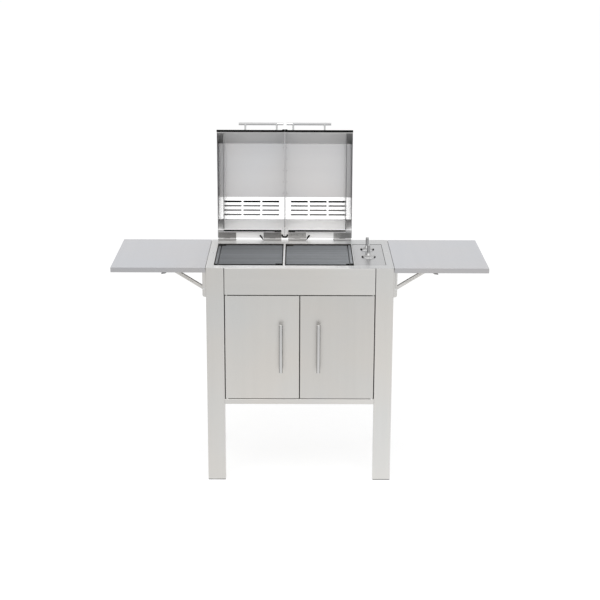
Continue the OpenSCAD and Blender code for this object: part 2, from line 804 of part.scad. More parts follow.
module door_handle(side) placed() color(bright) on_side(side) {
  turned_bar(door_bar_l, door_bar_d, [door_bar_x, -door_bar_out, door_bar_z]);
  for (z = [door_bar_z0, door_bar_z1])
    pin_y(door_bar_x, -door_bar_out, 0, z, door_post_d);
}
// A round bar along Z with a small chamfer at each end
module turned_bar(l, d, at)
  translate(at)
    rotate_extrude()
      polygon([
        [0, -l / 2], [d / 2 - 1, -l / 2], [d / 2, -l / 2 + 1],
        [d / 2, l / 2 - 1], [d / 2 - 1, l / 2], [0, l / 2]
      ]);

pin_tail = 6;
pin_nose = 9;
module pivot_bore()
  for (z = [floor_z - pin_tail - 2, apron_z - eps])
    pin_z(door_x0 - pivot_in, pivot_in, z, z + pin_tail + 2 + eps, pivot_d);
module door_pivot_pins() placed() color(bright) both_sides() {
  pin_z(door_x0 - pivot_in, pivot_in, floor_z - pin_tail, door_z0 + pin_nose, pivot_d);
  pin_z(door_x0 - pivot_in, pivot_in, floor_z, door_z0 - seat, pivot_d + bush_over);
  pin_z(door_x0 - pivot_in, pivot_in, door_z1 - pin_nose, apron_z + pin_tail, pivot_d);
}
catch_h = 18;
catch_d = 12;
module door_catches() placed() color(black) both_sides()
  box(door_x1 + strike_x0 + 2, door_x1 + strike_x0 + strike_w - 2, door_t + seat, door_t + catch_d,
      apron_z - catch_h, apron_z);

// Lids: drawn closed about the hinge axis, then swung open
module lid_at(side)
  placed() translate([seam_x + side * lid_gap / 2, hinge_y, hinge_z])
    on_side(side) rotate([-lid_open, 0, 0]) children();

// The area inside the folded sheet, and the whole outline with the sheet
module lid_inside() {
  p = bent(lid_points);
  n = len(p) - fold_n - 2;
  difference() {
    polygon([for (i = [1:n]) beside(p, i, sheet_t)]);
    translate([-lid_len, rim_w - eps]) square([rim_flange + eps, sheet_t + eps]);
  }
}
module lid_outline() polygon(bent([for (i = [0:5]) lid_points[i]]));

// The hood: folded sheet with end caps welded on, a riveted seam flange and rows of louvred vents
module lid_shell(side) lid_at(side) color(bright)
  difference() {
    union() {
      along_x(0, lid_w) sheet(lid_points);
      for (x = [0, lid_w - sheet_t])
        along_x(x, x + sheet_t) lid_outline();
      for (i = [1:4])
        cap_weld(lid_points[i], lid_points[i + 1]);
      box(0, seam_flange, -(lid_len - slope_run) + 6, vent_u - 6,
          rim_w + lid_h - 2 * sheet_t, rim_w + lid_h - sheet_t / 2);
      along_z(rim_w - sheet_t, rim_w + sheet_t / 2) tongue(tongue_r, tongue_u0);
      for (i = [0:rivet_n - 1])
        translate([seam_flange / 2, vent_u - rivet_in - i * seam_step, rim_w + lid_h - 2 * sheet_t])
          rivet();
      louvre_places() louvre_hood();
    }
    louvre_places() louvre_cut();
  }
seam_flange = 15;
rivet_n = 5;
rivet_in = 18;
vent_u = -(flange_u1 + skirt_run + vent_run);
seam_step = (vent_u + lid_len - slope_run - 2 * rivet_in) / (rivet_n - 1);

// The head of a rivet on the inner side of the seam flange
module rivet() {
  z = sheet_t / 2;
  mirror([0, 0, 1]) translate([0, 0, -z])
    rotate_extrude() polygon([[0, 0], [2.6, 0], [2.6, z + 0.5], [1.8, z + 1.2], [0, z + 1.4]]);
}

// The weld flange of the outer end cap, along one flat of the hood
module cap_weld(a, b) {
  l = norm(b - a) - 2 * (fold_r + 4);
  m = (a + b) / 2;
  translate([lid_w - sheet_t - cap_flange, m.x, m.y])
    rotate([atan2(b.y - a.y, b.x - a.x), 0, 0])
      translate([0, -l / 2, -2 * sheet_t]) cube([cap_flange + sheet_t / 2, l, 1.5 * sheet_t]);
}

// A louvre lies over each slot: flush with the sheet at its front edge, open towards the back
louvre_t = 1;
module louvre_places()
  translate([0, vent_u, rim_w + lid_h]) rotate([-vent_a, 0, 0])
    for (row = [0:slot_rows - 1], col = [0:slot_cols - 1])
      translate([lid_w / 2 + (col - 1) * slot_step, slot_y(row), 0]) children();
function slot_y(row) = vent_l / 2 + (row - (slot_rows - 1) / 2) * slot_pitch - 1;
module louvre_hood()
  along_x(-slot_l / 2 - louvre_t, slot_l / 2 + louvre_t)
    polygon([
      [-slot_h / 2 - louvre_t, -sheet_t / 2], [-slot_h / 2 - louvre_t, 0],
      [-slot_h / 2 + 1, louvre_h * 0.62], [-slot_h / 2 + 2.6, louvre_h],
      [slot_h / 2, louvre_h], [slot_h / 2, -sheet_t / 2]
    ]);
module louvre_cut()
  along_x(-slot_l / 2, slot_l / 2)
    polygon([
      [-slot_h / 2, -sheet_t - eps], [-slot_h / 2, 0], [-slot_h / 2 + 1.6, louvre_h * 0.62 - 0.5],
      [-slot_h / 2 + 2.8, louvre_h - louvre_t], [slot_h / 2 + eps, louvre_h - louvre_t],
      [slot_h / 2, 0], [slot_h / 2, -sheet_t - eps]
    ]);

// Half of a round-ended tongue, cut at the seam, with its tip at a distance from the hinge axis
tongue_u0 = 9;
tongue_u1 = 51;
module tongue(r, tip) {
  translate([0, -tongue_u1]) square([r, tongue_u1 - tip - r]);
  translate([0, -tip - r]) intersection() {
    circle(r);
    square(r);
  }
}

module lid_baffle(side) lid_at(side) color(bright)
  along_x(lid_w - baffle_in - sheet_t, lid_w - baffle_in) lid_inside();

// Silicone: the front strip and the strip at the back, each thicker at the seam, and the round buffer
front_seal_w = 8;
rear_seal_w = 5;
seal_end = 10;
seal_end_out = 3;
rear_seal_end = 28;
rear_seal_end_w = 7.5;
module lid_seals(side) lid_at(side) color(black) {
  z0 = rim_w - seal_drop;
  box(0, lid_w, -lid_len, -lid_len + front_seal_w, z0, rim_w);
  box(0, seal_end, -lid_len - seal_end_out, -lid_len + eps, z0, rim_w);
  box(seam_flange, lid_w - baffle_in, -flange_u1, -flange_u1 + rear_seal_w, z0, rim_w);
  box(seam_flange, seam_flange + rear_seal_end, -flange_u1, -flange_u1 + rear_seal_end_w, z0, rim_w);
  along_z(rim_w - seal_drop, rim_w)
    difference() {
      intersection() {
        tongue(tongue_r + buffer_t, tongue_u0 - buffer_t);
        translate([0, -tongue_u0 - tongue_r]) square(tongue_r + tongue_u0);
      }
      tongue(tongue_r, tongue_u0);
    }
}

module lid_handle(side) lid_at(side) color(bright)
  translate([lid_bar_x, -lid_len + slope_at * slope_run, rim_w + slope_at * lid_h])
    rotate([slope_a, 0, 0]) {
      translate([0, 0, lid_bar_out]) rotate([0, 90, 0]) turned_bar(lid_bar_l, lid_bar_d, [0, 0, 0]);
      for (x = [-1, 1])
        pin_z(x * lid_bar_l * 0.35, 0, 0, lid_bar_out, 8);
    }

// Hinges: the outer thirds of the knuckle are on the fixed leaf, the middle third on the moving leaf
module leaf_screws(x, y, z, h)
  for (i = [0:2])
    pin_z(x + hinge_l * (i + 0.5) / 3, y, z, z + h, 5);
module hinge_fixed_leaves() color(dark)
  for (side = [-1, 1], x = hinge_x)
    placed() translate([seam_x + side * lid_gap / 2, hinge_y, hinge_z]) on_side(side)
      difference() {
        union() {
          box(x, x + hinge_l, -fixed_leaf_w, 0, -hinge_rise, -hinge_rise + leaf_t);
          pin_x(x, x + hinge_l, 0, 0, 2 * knuckle_r);
          leaf_screws(x, -fixed_leaf_w / 2 - 3, -hinge_rise + leaf_t / 2, leaf_t / 2 + 0.6);
        }
        pin_x(x + third - 0.2, x + 2 * third + 0.2, 0, 0, 2 * knuckle_r + 2 * seat);
        pin_x(x - eps, x + hinge_l + eps, 0, 0, hinge_pin_d + 2 * run);
      }
module hinge_moving_leaves(side) lid_at(side) color(dark)
  for (x = hinge_x)
    difference() {
      union() {
        box(x, x + hinge_l, -moving_leaf_w, -knuckle_r - seat, rim_w - leaf_t, rim_w);
        box(x + third, x + 2 * third, -knuckle_r - 1, 0, rim_w - leaf_t, rim_w - eps);
        pin_x(x + third, x + 2 * third, 0, 0, 2 * knuckle_r);
        leaf_screws(x, -moving_leaf_w / 2 - 5, rim_w - leaf_t - 0.6, leaf_t / 2 + 0.6);
      }
      pin_x(x + third - eps, x + 2 * third + eps, 0, 0, hinge_pin_d);
    }
// The pin of each inner hinge ends in a bent grip, by which it is drawn
grip_d = 5;
grip_l = 18;
grip_a = 34;
grip_bend = 5;
grip_core = 1.6;
module hinge_pins(side) lid_at(side) color(bright) {
  for (x = hinge_x)
    pin_x(x - 1, x + hinge_l + 1, 0, 0, hinge_pin_d);
  translate([hinge_x[0] + hinge_l + 1, -grip_bend, 0]) {
    pin_x(-grip_core, grip_core, grip_bend, 0, 2 * grip_core);
    rotate([0, 0, grip_a]) rotate_extrude(angle = 90 - grip_a) translate([grip_bend, 0]) circle(d = grip_d);
    translate(grip_bend * [cos(grip_a), sin(grip_a), 0]) rotate([90, 0, 0]) rotate([0, grip_a, 0])
      rotate_extrude()
        polygon([
          [0, -grip_core], [grip_core, -grip_core], [grip_core, 0], [grip_d / 2, 0],
          [grip_d / 2, grip_l - 1], [grip_d / 2 - 1, grip_l], [0, grip_l]
        ]);
  }
}

// Brackets, drawn for the right side with their middle plane at Y = 0
module bracket(side)
  on_side(side)
    for (y = bracket_y)
      placed() translate([0, y, 0]) children();

// The wall arm is a channel on the leg with a rounded foot
wall_foot = strut_z - 34;
wall_reach = 14;
wall_r = 9;
wall_screw_d = 9;
module wall_arm_side() {
  r = wall_r;
  translate([half_w, wall_foot + r]) square([wall_reach, pivot_z - wall_foot - r]);
  translate([half_w, wall_foot + r]) intersection() {
    translate([wall_reach - r, 0]) circle(r);
    translate([0, -r]) square([wall_reach, 2 * r]);
  }
  translate([half_w, wall_foot]) square([wall_reach - r, r + eps]);
  translate([half_w, pivot_z - eps]) square([pivot_out, 8 + eps]);
  translate([pivot_x, pivot_z]) circle(wall_reach - pivot_out);
}
module wall_arms() color(steel) for (side = [-1, 1]) bracket(side)
  difference() {
    union() {
      box(half_w, half_w + leg_wall, -wall_hw, wall_hw, wall_foot + wall_r, pivot_z + 6);
      for (s = [-1, 1])
        mirror([0, s < 0 ? 1 : 0, 0]) along_y(wall_hw - wall_arm_t, wall_hw) wall_arm_side();
      for (z = [wall_foot + 14, strut_z + 34])
        pin_x(half_w + eps, half_w + leg_wall + 1.6, 0, z, wall_screw_d);
    }
    for (z = [pivot_z, strut_z])
      pin_y(pivot_x, -wall_hw - eps, wall_hw + eps, z, bracket_pin_d);
  }
module bracket_pins() color(bright) for (side = [-1, 1]) bracket(side)
  for (z = [pivot_z, strut_z]) {
    pin_y(pivot_x, -wall_hw, wall_hw, z, bracket_pin_d);
    for (s = [-1, 1])
      mirror([0, s < 0 ? 1 : 0, 0]) pin_y(pivot_x, wall_hw, wall_hw + 1.2, z, bracket_pin_d + 3);
  }

// The shelf is a pan, open below; its inner rim is cut away round the brackets
skin_z = top_z - sheet_t;
module shelf(side) placed() color(shelf_steel) on_side(side)
  difference() {
    box(shelf_x0, shelf_x1, 0, stand_d, top_z - shelf_h, top_z);
    box(shelf_x0 + sheet_t, shelf_x1 - sheet_t, sheet_t, stand_d - sheet_t, top_z - shelf_h - eps, skin_z);
    for (y = bracket_y)
      box(shelf_x0 - eps, shelf_x0 + 2 * sheet_t, y - wall_hw - 4, y + wall_hw + 4,
          top_z - shelf_h - eps, skin_z);
  }

// The shelf arm is a channel below the skin; the sliding end of the strut runs in its slots.
// A notch in each side takes in the strut's pivot pin when the shelf is folded down.
web_z = skin_z - channel_t;
pin_notch = bracket_pin_d + 2;
arm_slot_h = bracket_pin_d + 1;
slot_x0 = strut_reach - pin_notch / 2 - 1.5;
slot_x1 = strut_l + strut_drop + pin_notch / 2 + 1.5;
module shelf_arm_side()
  difference() {
    union() {
      translate([pivot_x, pivot_z]) circle(arm_end_r);
      translate([pivot_x, pivot_z - arm_end_r]) square([arm_l, arm_end_r + skin_z - pivot_z]);
    }
    translate([pivot_x + (slot_x0 + slot_x1) / 2, pivot_z]) slot(slot_x1 - slot_x0, arm_slot_h);
    translate([pivot_x + strut_drop, pivot_z]) {
      circle(d = pin_notch);
      translate([-pin_notch / 2, -arm_end_r - eps]) square([pin_notch, arm_end_r + eps]);
    }
  }
module shelf_arms(side) color(steel) {
  bracket(side)
    difference() {
      union() {
        for (s = [-1, 1])
          mirror([0, s < 0 ? 1 : 0, 0]) along_y(arm_hw - channel_t, arm_hw) shelf_arm_side();
        box(pivot_x, pivot_x + arm_l, -arm_hw, arm_hw, web_z, skin_z);
      }
      pin_y(pivot_x, -arm_hw - eps, arm_hw + eps, pivot_z, bracket_pin_d + 2 * run);
    }
  on_side(side) inward() {
    pin_y(lever_x, arm_hw - channel_t / 2, lever_y1 + seat, lever_z, lever_pin_d);
    pin_y(lever_x, lever_y1 + seat, lever_y1 + seat + 1.2, lever_z, lever_pin_d + 3);
  }
}

// The strut is a channel with a long cut in each side; stubs at its upper end run in the arm's slots
strut_r = 6;
strut_cut_h = 4;
module strut_side()
  difference() {
    union() {
      circle(strut_r);
      translate([0, -strut_r]) square([strut_l, 2 * strut_r]);
      translate([strut_l, 0]) circle(strut_r);
    }
    translate([strut_l * 0.62, 0.5]) slot(strut_l * 0.5, strut_cut_h);
  }
module struts(side) color(steel) bracket(side)
  translate([pivot_x, 0, strut_z]) rotate([0, -strut_a, 0])
    difference() {
      union() {
        for (s = [-1, 1])
          mirror([0, s < 0 ? 1 : 0, 0]) along_y(strut_hw - channel_t, strut_hw) strut_side();
        box(2 * strut_r, strut_l - 2 * strut_r, -strut_hw, strut_hw, strut_r - channel_t, strut_r);
        pin_y(strut_l, -arm_hw + channel_t + seat, arm_hw - channel_t - seat, 0, bracket_pin_d);
      }
      pin_y(0, -strut_hw - eps, strut_hw + eps, 0, bracket_pin_d + 2 * run);
    }

// The release lever is a bent strip beside the arm, on the side away from the shelf's rim
module lever_side() {
  end = lever_l * [cos(lever_a), -sin(lever_a)];
  circle(lever_eye_r);
  polygon(strip_of(bent([[3, -1], end, end + [15, -2]], 4), lever_t));
}
module inward() for (i = [0, 1])
  placed() translate([0, bracket_y[i], 0]) mirror([0, i, 0]) children();
module release_levers(side) color(dark) on_side(side) inward() {
  difference() {
    translate([lever_x, 0, lever_z])
      along_y(lever_y0, lever_y0 + lever_w) lever_side();
    pin_y(lever_x, lever_y0 - eps, lever_y1 + eps, lever_z, lever_pin_d + 2 * run);
  }
}

front_leg(-1);  // front_leg_left
front_leg(1);  // front_leg_right
back_legs();
feet();
front_apron();
side_panels();
back_panel();
cabinet_floor();
deck();
deck_screws();
control_panel();
fire_box(open_x0);  // fire_box_left
fire_box(open_x2);  // fire_box_right
element(tray_x[0]);  // element_left
element(tray_x[1]);  // element_right
element_supports();
grill_plate(open_x0, -1);  // grill_plate_left
grill_plate(open_x2, 1);  // grill_plate_right
tray_runners();
drip_tray(tray_x[0]);  // drip_tray_left
drip_tray(tray_x[1]);  // drip_tray_right
heat_shield();
regulators();
knob_rings();
shaft(knob_y[0]);  // shaft_front
shaft(knob_y[1]);  // shaft_back
knob(knob_y[0]);  // knob_front
knob(knob_y[1]);  // knob_back
terminal_box();
cable_gland();
wiring_loom();
door(-1);  // door_left
door(1);  // door_right
door_handle(-1);  // door_handle_left
door_handle(1);  // door_handle_right
door_pivot_pins();
door_catches();
hinge_fixed_leaves();
lid_shell(-1);  // lid_shell_left
lid_shell(1);  // lid_shell_right
lid_baffle(-1);  // lid_baffle_left
lid_baffle(1);  // lid_baffle_right
lid_seals(-1);  // lid_seals_left
lid_seals(1);  // lid_seals_right
lid_handle(-1);  // lid_handle_left
lid_handle(1);  // lid_handle_right
hinge_moving_leaves(-1);  // hinge_moving_leaves_left
hinge_moving_leaves(1);  // hinge_moving_leaves_right
hinge_pins(-1);  // hinge_pins_left
hinge_pins(1);  // hinge_pins_right
wall_arms();
bracket_pins();
shelf(-1);  // shelf_left
shelf(1);  // shelf_right
shelf_arms(-1);  // shelf_arms_left
shelf_arms(1);  // shelf_arms_right
struts(-1);  // struts_left
struts(1);  // struts_right
release_levers(-1);  // release_levers_left
release_levers(1);  // release_levers_right
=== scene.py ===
"""Dresses the electric grill with stand: finishes, fine detail, floor, light and camera."""
import json
import math

import bmesh
import bpy
from mathutils import Matrix, Vector

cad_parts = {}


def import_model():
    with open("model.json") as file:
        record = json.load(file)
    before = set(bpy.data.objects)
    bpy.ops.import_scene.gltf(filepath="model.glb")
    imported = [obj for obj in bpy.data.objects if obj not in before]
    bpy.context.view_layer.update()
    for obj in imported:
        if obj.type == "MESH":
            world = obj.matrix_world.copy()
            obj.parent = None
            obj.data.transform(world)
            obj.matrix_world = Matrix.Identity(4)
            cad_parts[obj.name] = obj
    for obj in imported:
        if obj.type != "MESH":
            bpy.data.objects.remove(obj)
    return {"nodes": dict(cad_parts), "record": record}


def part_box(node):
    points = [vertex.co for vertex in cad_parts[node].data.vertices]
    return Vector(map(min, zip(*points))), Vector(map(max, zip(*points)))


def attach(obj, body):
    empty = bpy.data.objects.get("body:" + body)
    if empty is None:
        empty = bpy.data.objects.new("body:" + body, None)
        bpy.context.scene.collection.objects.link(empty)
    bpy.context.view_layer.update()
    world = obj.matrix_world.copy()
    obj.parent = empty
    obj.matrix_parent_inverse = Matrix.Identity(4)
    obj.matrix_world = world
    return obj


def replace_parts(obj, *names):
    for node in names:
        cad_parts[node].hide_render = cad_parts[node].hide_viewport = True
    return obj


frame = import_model()
NODES = frame["nodes"]
BODY = {node: body for body, members in frame["record"]["behaviour"]["bodies"].items() for node in members}
SLOT = {part["node"]: part["material_slot"] for part in frame["record"]["subparts"]}
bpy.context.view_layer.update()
MM = 0.001
SIDES = (("left", -1), ("right", 1))
X, Y, Z = Vector((1, 0, 0)), Vector((0, 1, 0)), Vector((0, 0, 1))


# Node helpers

class Shader:
    """A small builder for node materials."""

    def __init__(self, name):
        self.material = bpy.data.materials.new(name)
        self.material.use_nodes = True
        self.nodes = self.material.node_tree.nodes
        self.links = self.material.node_tree.links
        self.nodes.clear()
        self.out = self.nodes.new("ShaderNodeOutputMaterial")

    def add(self, kind, **values):
        node = self.nodes.new("ShaderNode" + kind)
        for key, value in values.items():
            setattr(node, key, value)
        return node

    def link(self, a, b):
        self.links.new(a, b)

    def put(self, value, socket):
        """Gives a socket either another socket's value or a fixed one."""
        if isinstance(value, bpy.types.NodeSocket):
            self.link(value, socket)
        else:
            socket.default_value = value

    def noise(self, scale, detail=2.0, rough=0.5, stretch=(1, 1, 1)):
        """Noise in the shared frame, drawn out where its stretch is small."""
        coords = self.add("TexCoord")
        mapping = self.add("Mapping")
        mapping.inputs["Scale"].default_value = stretch
        noise = self.add("TexNoise")
        noise.inputs["Scale"].default_value = scale
        noise.inputs["Detail"].default_value = detail
        noise.inputs["Roughness"].default_value = rough
        self.link(coords.outputs["Object"], mapping.inputs["Vector"])
        self.link(mapping.outputs["Vector"], noise.inputs["Vector"])
        return noise.outputs["Fac"]

    def span(self, value, low, high, start=0.3, end=0.7):
        """Takes a value from one range (start to end) to another (low to high)."""
        node = self.add("MapRange")
        for key, number in (("From Min", start), ("From Max", end), ("To Min", low), ("To Max", high)):
            node.inputs[key].default_value = number
        self.link(value, node.inputs["Value"])
        return node.outputs["Result"]

    def place(self, axis):
        """A coordinate of the point on the piece, in metres of the shared frame at rest."""
        coords = self.add("TexCoord")
        apart = self.add("SeparateXYZ")
        self.link(coords.outputs["Object"], apart.inputs[0])
        return apart.outputs[axis]

    def with_painted_shading(self, tone, painted_shading):
        """Tone times painted light and shade along an axis: (axis, start, end, factor at start, factor at
        end).
        """
        for axis, start, end, first, last in painted_shading:
            tone = self.mix(1.0, tone, self.span(self.place(axis), first, last, start, end), "MULTIPLY")
        return tone

    def darker(self, tone, share):
        """A tone less a share of its light."""
        return self.mix(1.0, tone, rgb((1, 1, 1), 1 - share), "MULTIPLY")

    def mix(self, factor, a, b, blend="MIX"):
        node = self.add("Mix", data_type="RGBA", blend_type=blend)
        for value, socket in ((factor, node.inputs[0]), (a, node.inputs[6]), (b, node.inputs[7])):
            self.put(value, socket)
        return node.outputs[2]

    def bump(self, height, strength, distance, normal=None):
        node = self.add("Bump")
        node.inputs["Strength"].default_value = strength
        node.inputs["Distance"].default_value = distance
        self.link(height, node.inputs["Height"])
        if normal is not None:
            self.link(normal, node.inputs["Normal"])
        return node.outputs["Normal"]

    def surface(self, color, roughness, normal=None, **values):
        node = self.add("BsdfPrincipled")
        self.put(color, node.inputs["Base Color"])
        self.put(roughness, node.inputs["Roughness"])
        if normal is not None:
            self.link(normal, node.inputs["Normal"])
        for key, value in values.items():
            node.inputs[key.replace("_", " ")].default_value = value
        self.link(node.outputs["BSDF"], self.out.inputs["Surface"])
        return self.material


def rgb(color, k=1.0):
    return (color[0] * k, color[1] * k, color[2] * k, 1.0)


# Materials

GRAIN = {"x": (1.5, 60, 60), "y": (60, 1.5, 60), "z": (60, 60, 1.5)}


def brushed(name, color, grain, rough=0.34, tint=0.02, contrast=0.04, metal=1.0, painted_shading=()):
    """Brushed steel: fine streaks along the grain, faint bands, and a slow drift between warm and cool."""
    s = Shader(name)
    fine = s.noise(14, 4, 0.65, GRAIN[grain])
    band = s.noise(0.55, 2, 0.5, GRAIN[grain])
    drift = s.noise(2.6, 2, 0.5)
    warm = (color[0] * (1 + tint), color[1], color[2] * (1 - tint))
    cool = (color[0] * (1 - tint), color[1], color[2] * (1 + tint))
    tone = s.mix(s.span(drift, 0, 1), rgb(warm), rgb(cool))
    tone = s.mix(s.span(fine, 0, 1), s.darker(tone, contrast), tone)
    tone = s.mix(s.span(band, 0, 1), s.darker(tone, contrast / 2), tone)
    normal = s.bump(fine, 0.15, 0.00008)
    # The tone is lighter or darker along axes as painted light and shade.
    return s.surface(s.with_painted_shading(tone, painted_shading), s.span(fine, rough - 0.04, rough + 0.05), normal, Metallic=metal)


def polished(name, color, rough=0.16):
    """Polished steel with faint wipe marks."""
    s = Shader(name)
    wipe = s.noise(55, 3, 0.6)
    roughness = s.span(wipe, rough - 0.04, rough + 0.07)
    return s.surface(rgb(color), roughness, s.bump(wipe, 0.05, 0.0002), Metallic=1.0)


def cast_iron(name, color, painted_shading=()):
    """Seasoned cast iron: grainy skin, soot, a thin film of oil and rub marks along the ribs."""
    s = Shader(name)
    rubbed = s.noise(0.5, 2, 0.5, GRAIN["x"])
    skin = s.noise(900, 5, 0.7)
    lump = s.noise(120, 3, 0.55)
    soot = s.noise(9, 3, 0.6)
    tone = s.mix(s.span(soot, 0, 1), rgb(color, 0.90), rgb(color, 1.10))
    tone = s.mix(s.span(skin, 0, 0.4), tone, rgb(color, 0.75))
    tone = s.mix(s.span(rubbed, 0, 1), s.darker(tone, 0.18), tone)
    normal = s.bump(skin, 0.30, 0.0003, s.bump(lump, 0.3, 0.0008))
    # The tone is lighter or darker along axes as painted light and shade.
    return s.surface(s.with_painted_shading(tone, painted_shading), s.span(soot, 0.46, 0.62), normal, Metallic=0.35)


def rubber(name, color):
    """Matt rubber or soot with a fine grain."""
    s = Shader(name)
    grain = s.noise(1500, 3, 0.6)
    roughness = s.span(grain, 0.6, 0.8)
    return s.surface(rgb(color), roughness, s.bump(grain, 0.2, 0.0002), Specular_IOR_Level=0.05)


def moulded(name, color):
    """Moulded plastic: spark-eroded grain, paler where it is worn."""
    s = Shader(name)
    grain = s.noise(2200, 2, 0.5)
    wear = s.noise(30, 3, 0.6)
    tone = s.mix(s.span(wear, 0, 1), rgb(color), rgb(color, 1.5))
    return s.surface(tone, s.span(grain, 0.42, 0.55), s.bump(grain, 0.25, 0.0002))


def sheath(name, color):
    """Oxidised tube: matt, with a brown and a blue heat tint along it."""
    s = Shader(name)
    drift = s.noise(9, 2, 0.5)
    grain = s.noise(700, 3, 0.6)
    brown = (color[0] * 1.5, color[1] * 1.1, color[2] * 0.9)
    blue = (color[0] * 0.9, color[1], color[2] * 1.5)
    tone = s.mix(s.span(drift, 0, 1), rgb(brown), rgb(blue))
    return s.surface(tone, s.span(grain, 0.5, 0.7), s.bump(grain, 0.2, 0.0002), Metallic=0.5)


def heated(name, color, grain):
    """Steel near the heat: brushed, with a straw tint and baked drops of fat."""
    s = Shader(name)
    fine = s.noise(14, 4, 0.65, GRAIN[grain])
    tint = s.noise(5, 3, 0.6)
    drops = s.noise(60, 3, 0.6)
    straw = (color[0] * 1.04, color[1] * 0.97, color[2] * 0.84)
    tone = s.mix(s.span(tint, 0, 1), rgb(color), rgb(straw))
    tone = s.mix(s.span(drops, 0, 0.55, 0.62, 0.74), tone, rgb((0.20, 0.13, 0.08)))
    return s.surface(tone, s.span(drops, 0.38, 0.6, 0.4, 0.75), s.bump(fine, 0.2, 0.0001), Metallic=1.0)


WARM = (0.70, 0.688, 0.664)
DECK = (0.88, 0.88, 0.876)
COOL = (0.585, 0.587, 0.607)
LID = (0.74, 0.733, 0.735)

# Painted light and shade along an axis, in metres: the right lid lighter than the left, the deck darker at
# its left strip and its right part, and the plates lighter to the right and darker to the back
RIGHT_LID_LIGHTER = ("X", -0.09, -0.04, 1.0)
DECK_PAINTED_SHADE = (("X", -0.345, -0.33, 0.76, 1.0), ("X", 0.19, 0.206, 1.0, 0.67))
PLATE_PAINTED_LIGHT_AND_SHADE = (("X", -0.34, 0.20, 0.92, 1.38), ("Y", -0.05, 0.12, 1.0, 0.74))

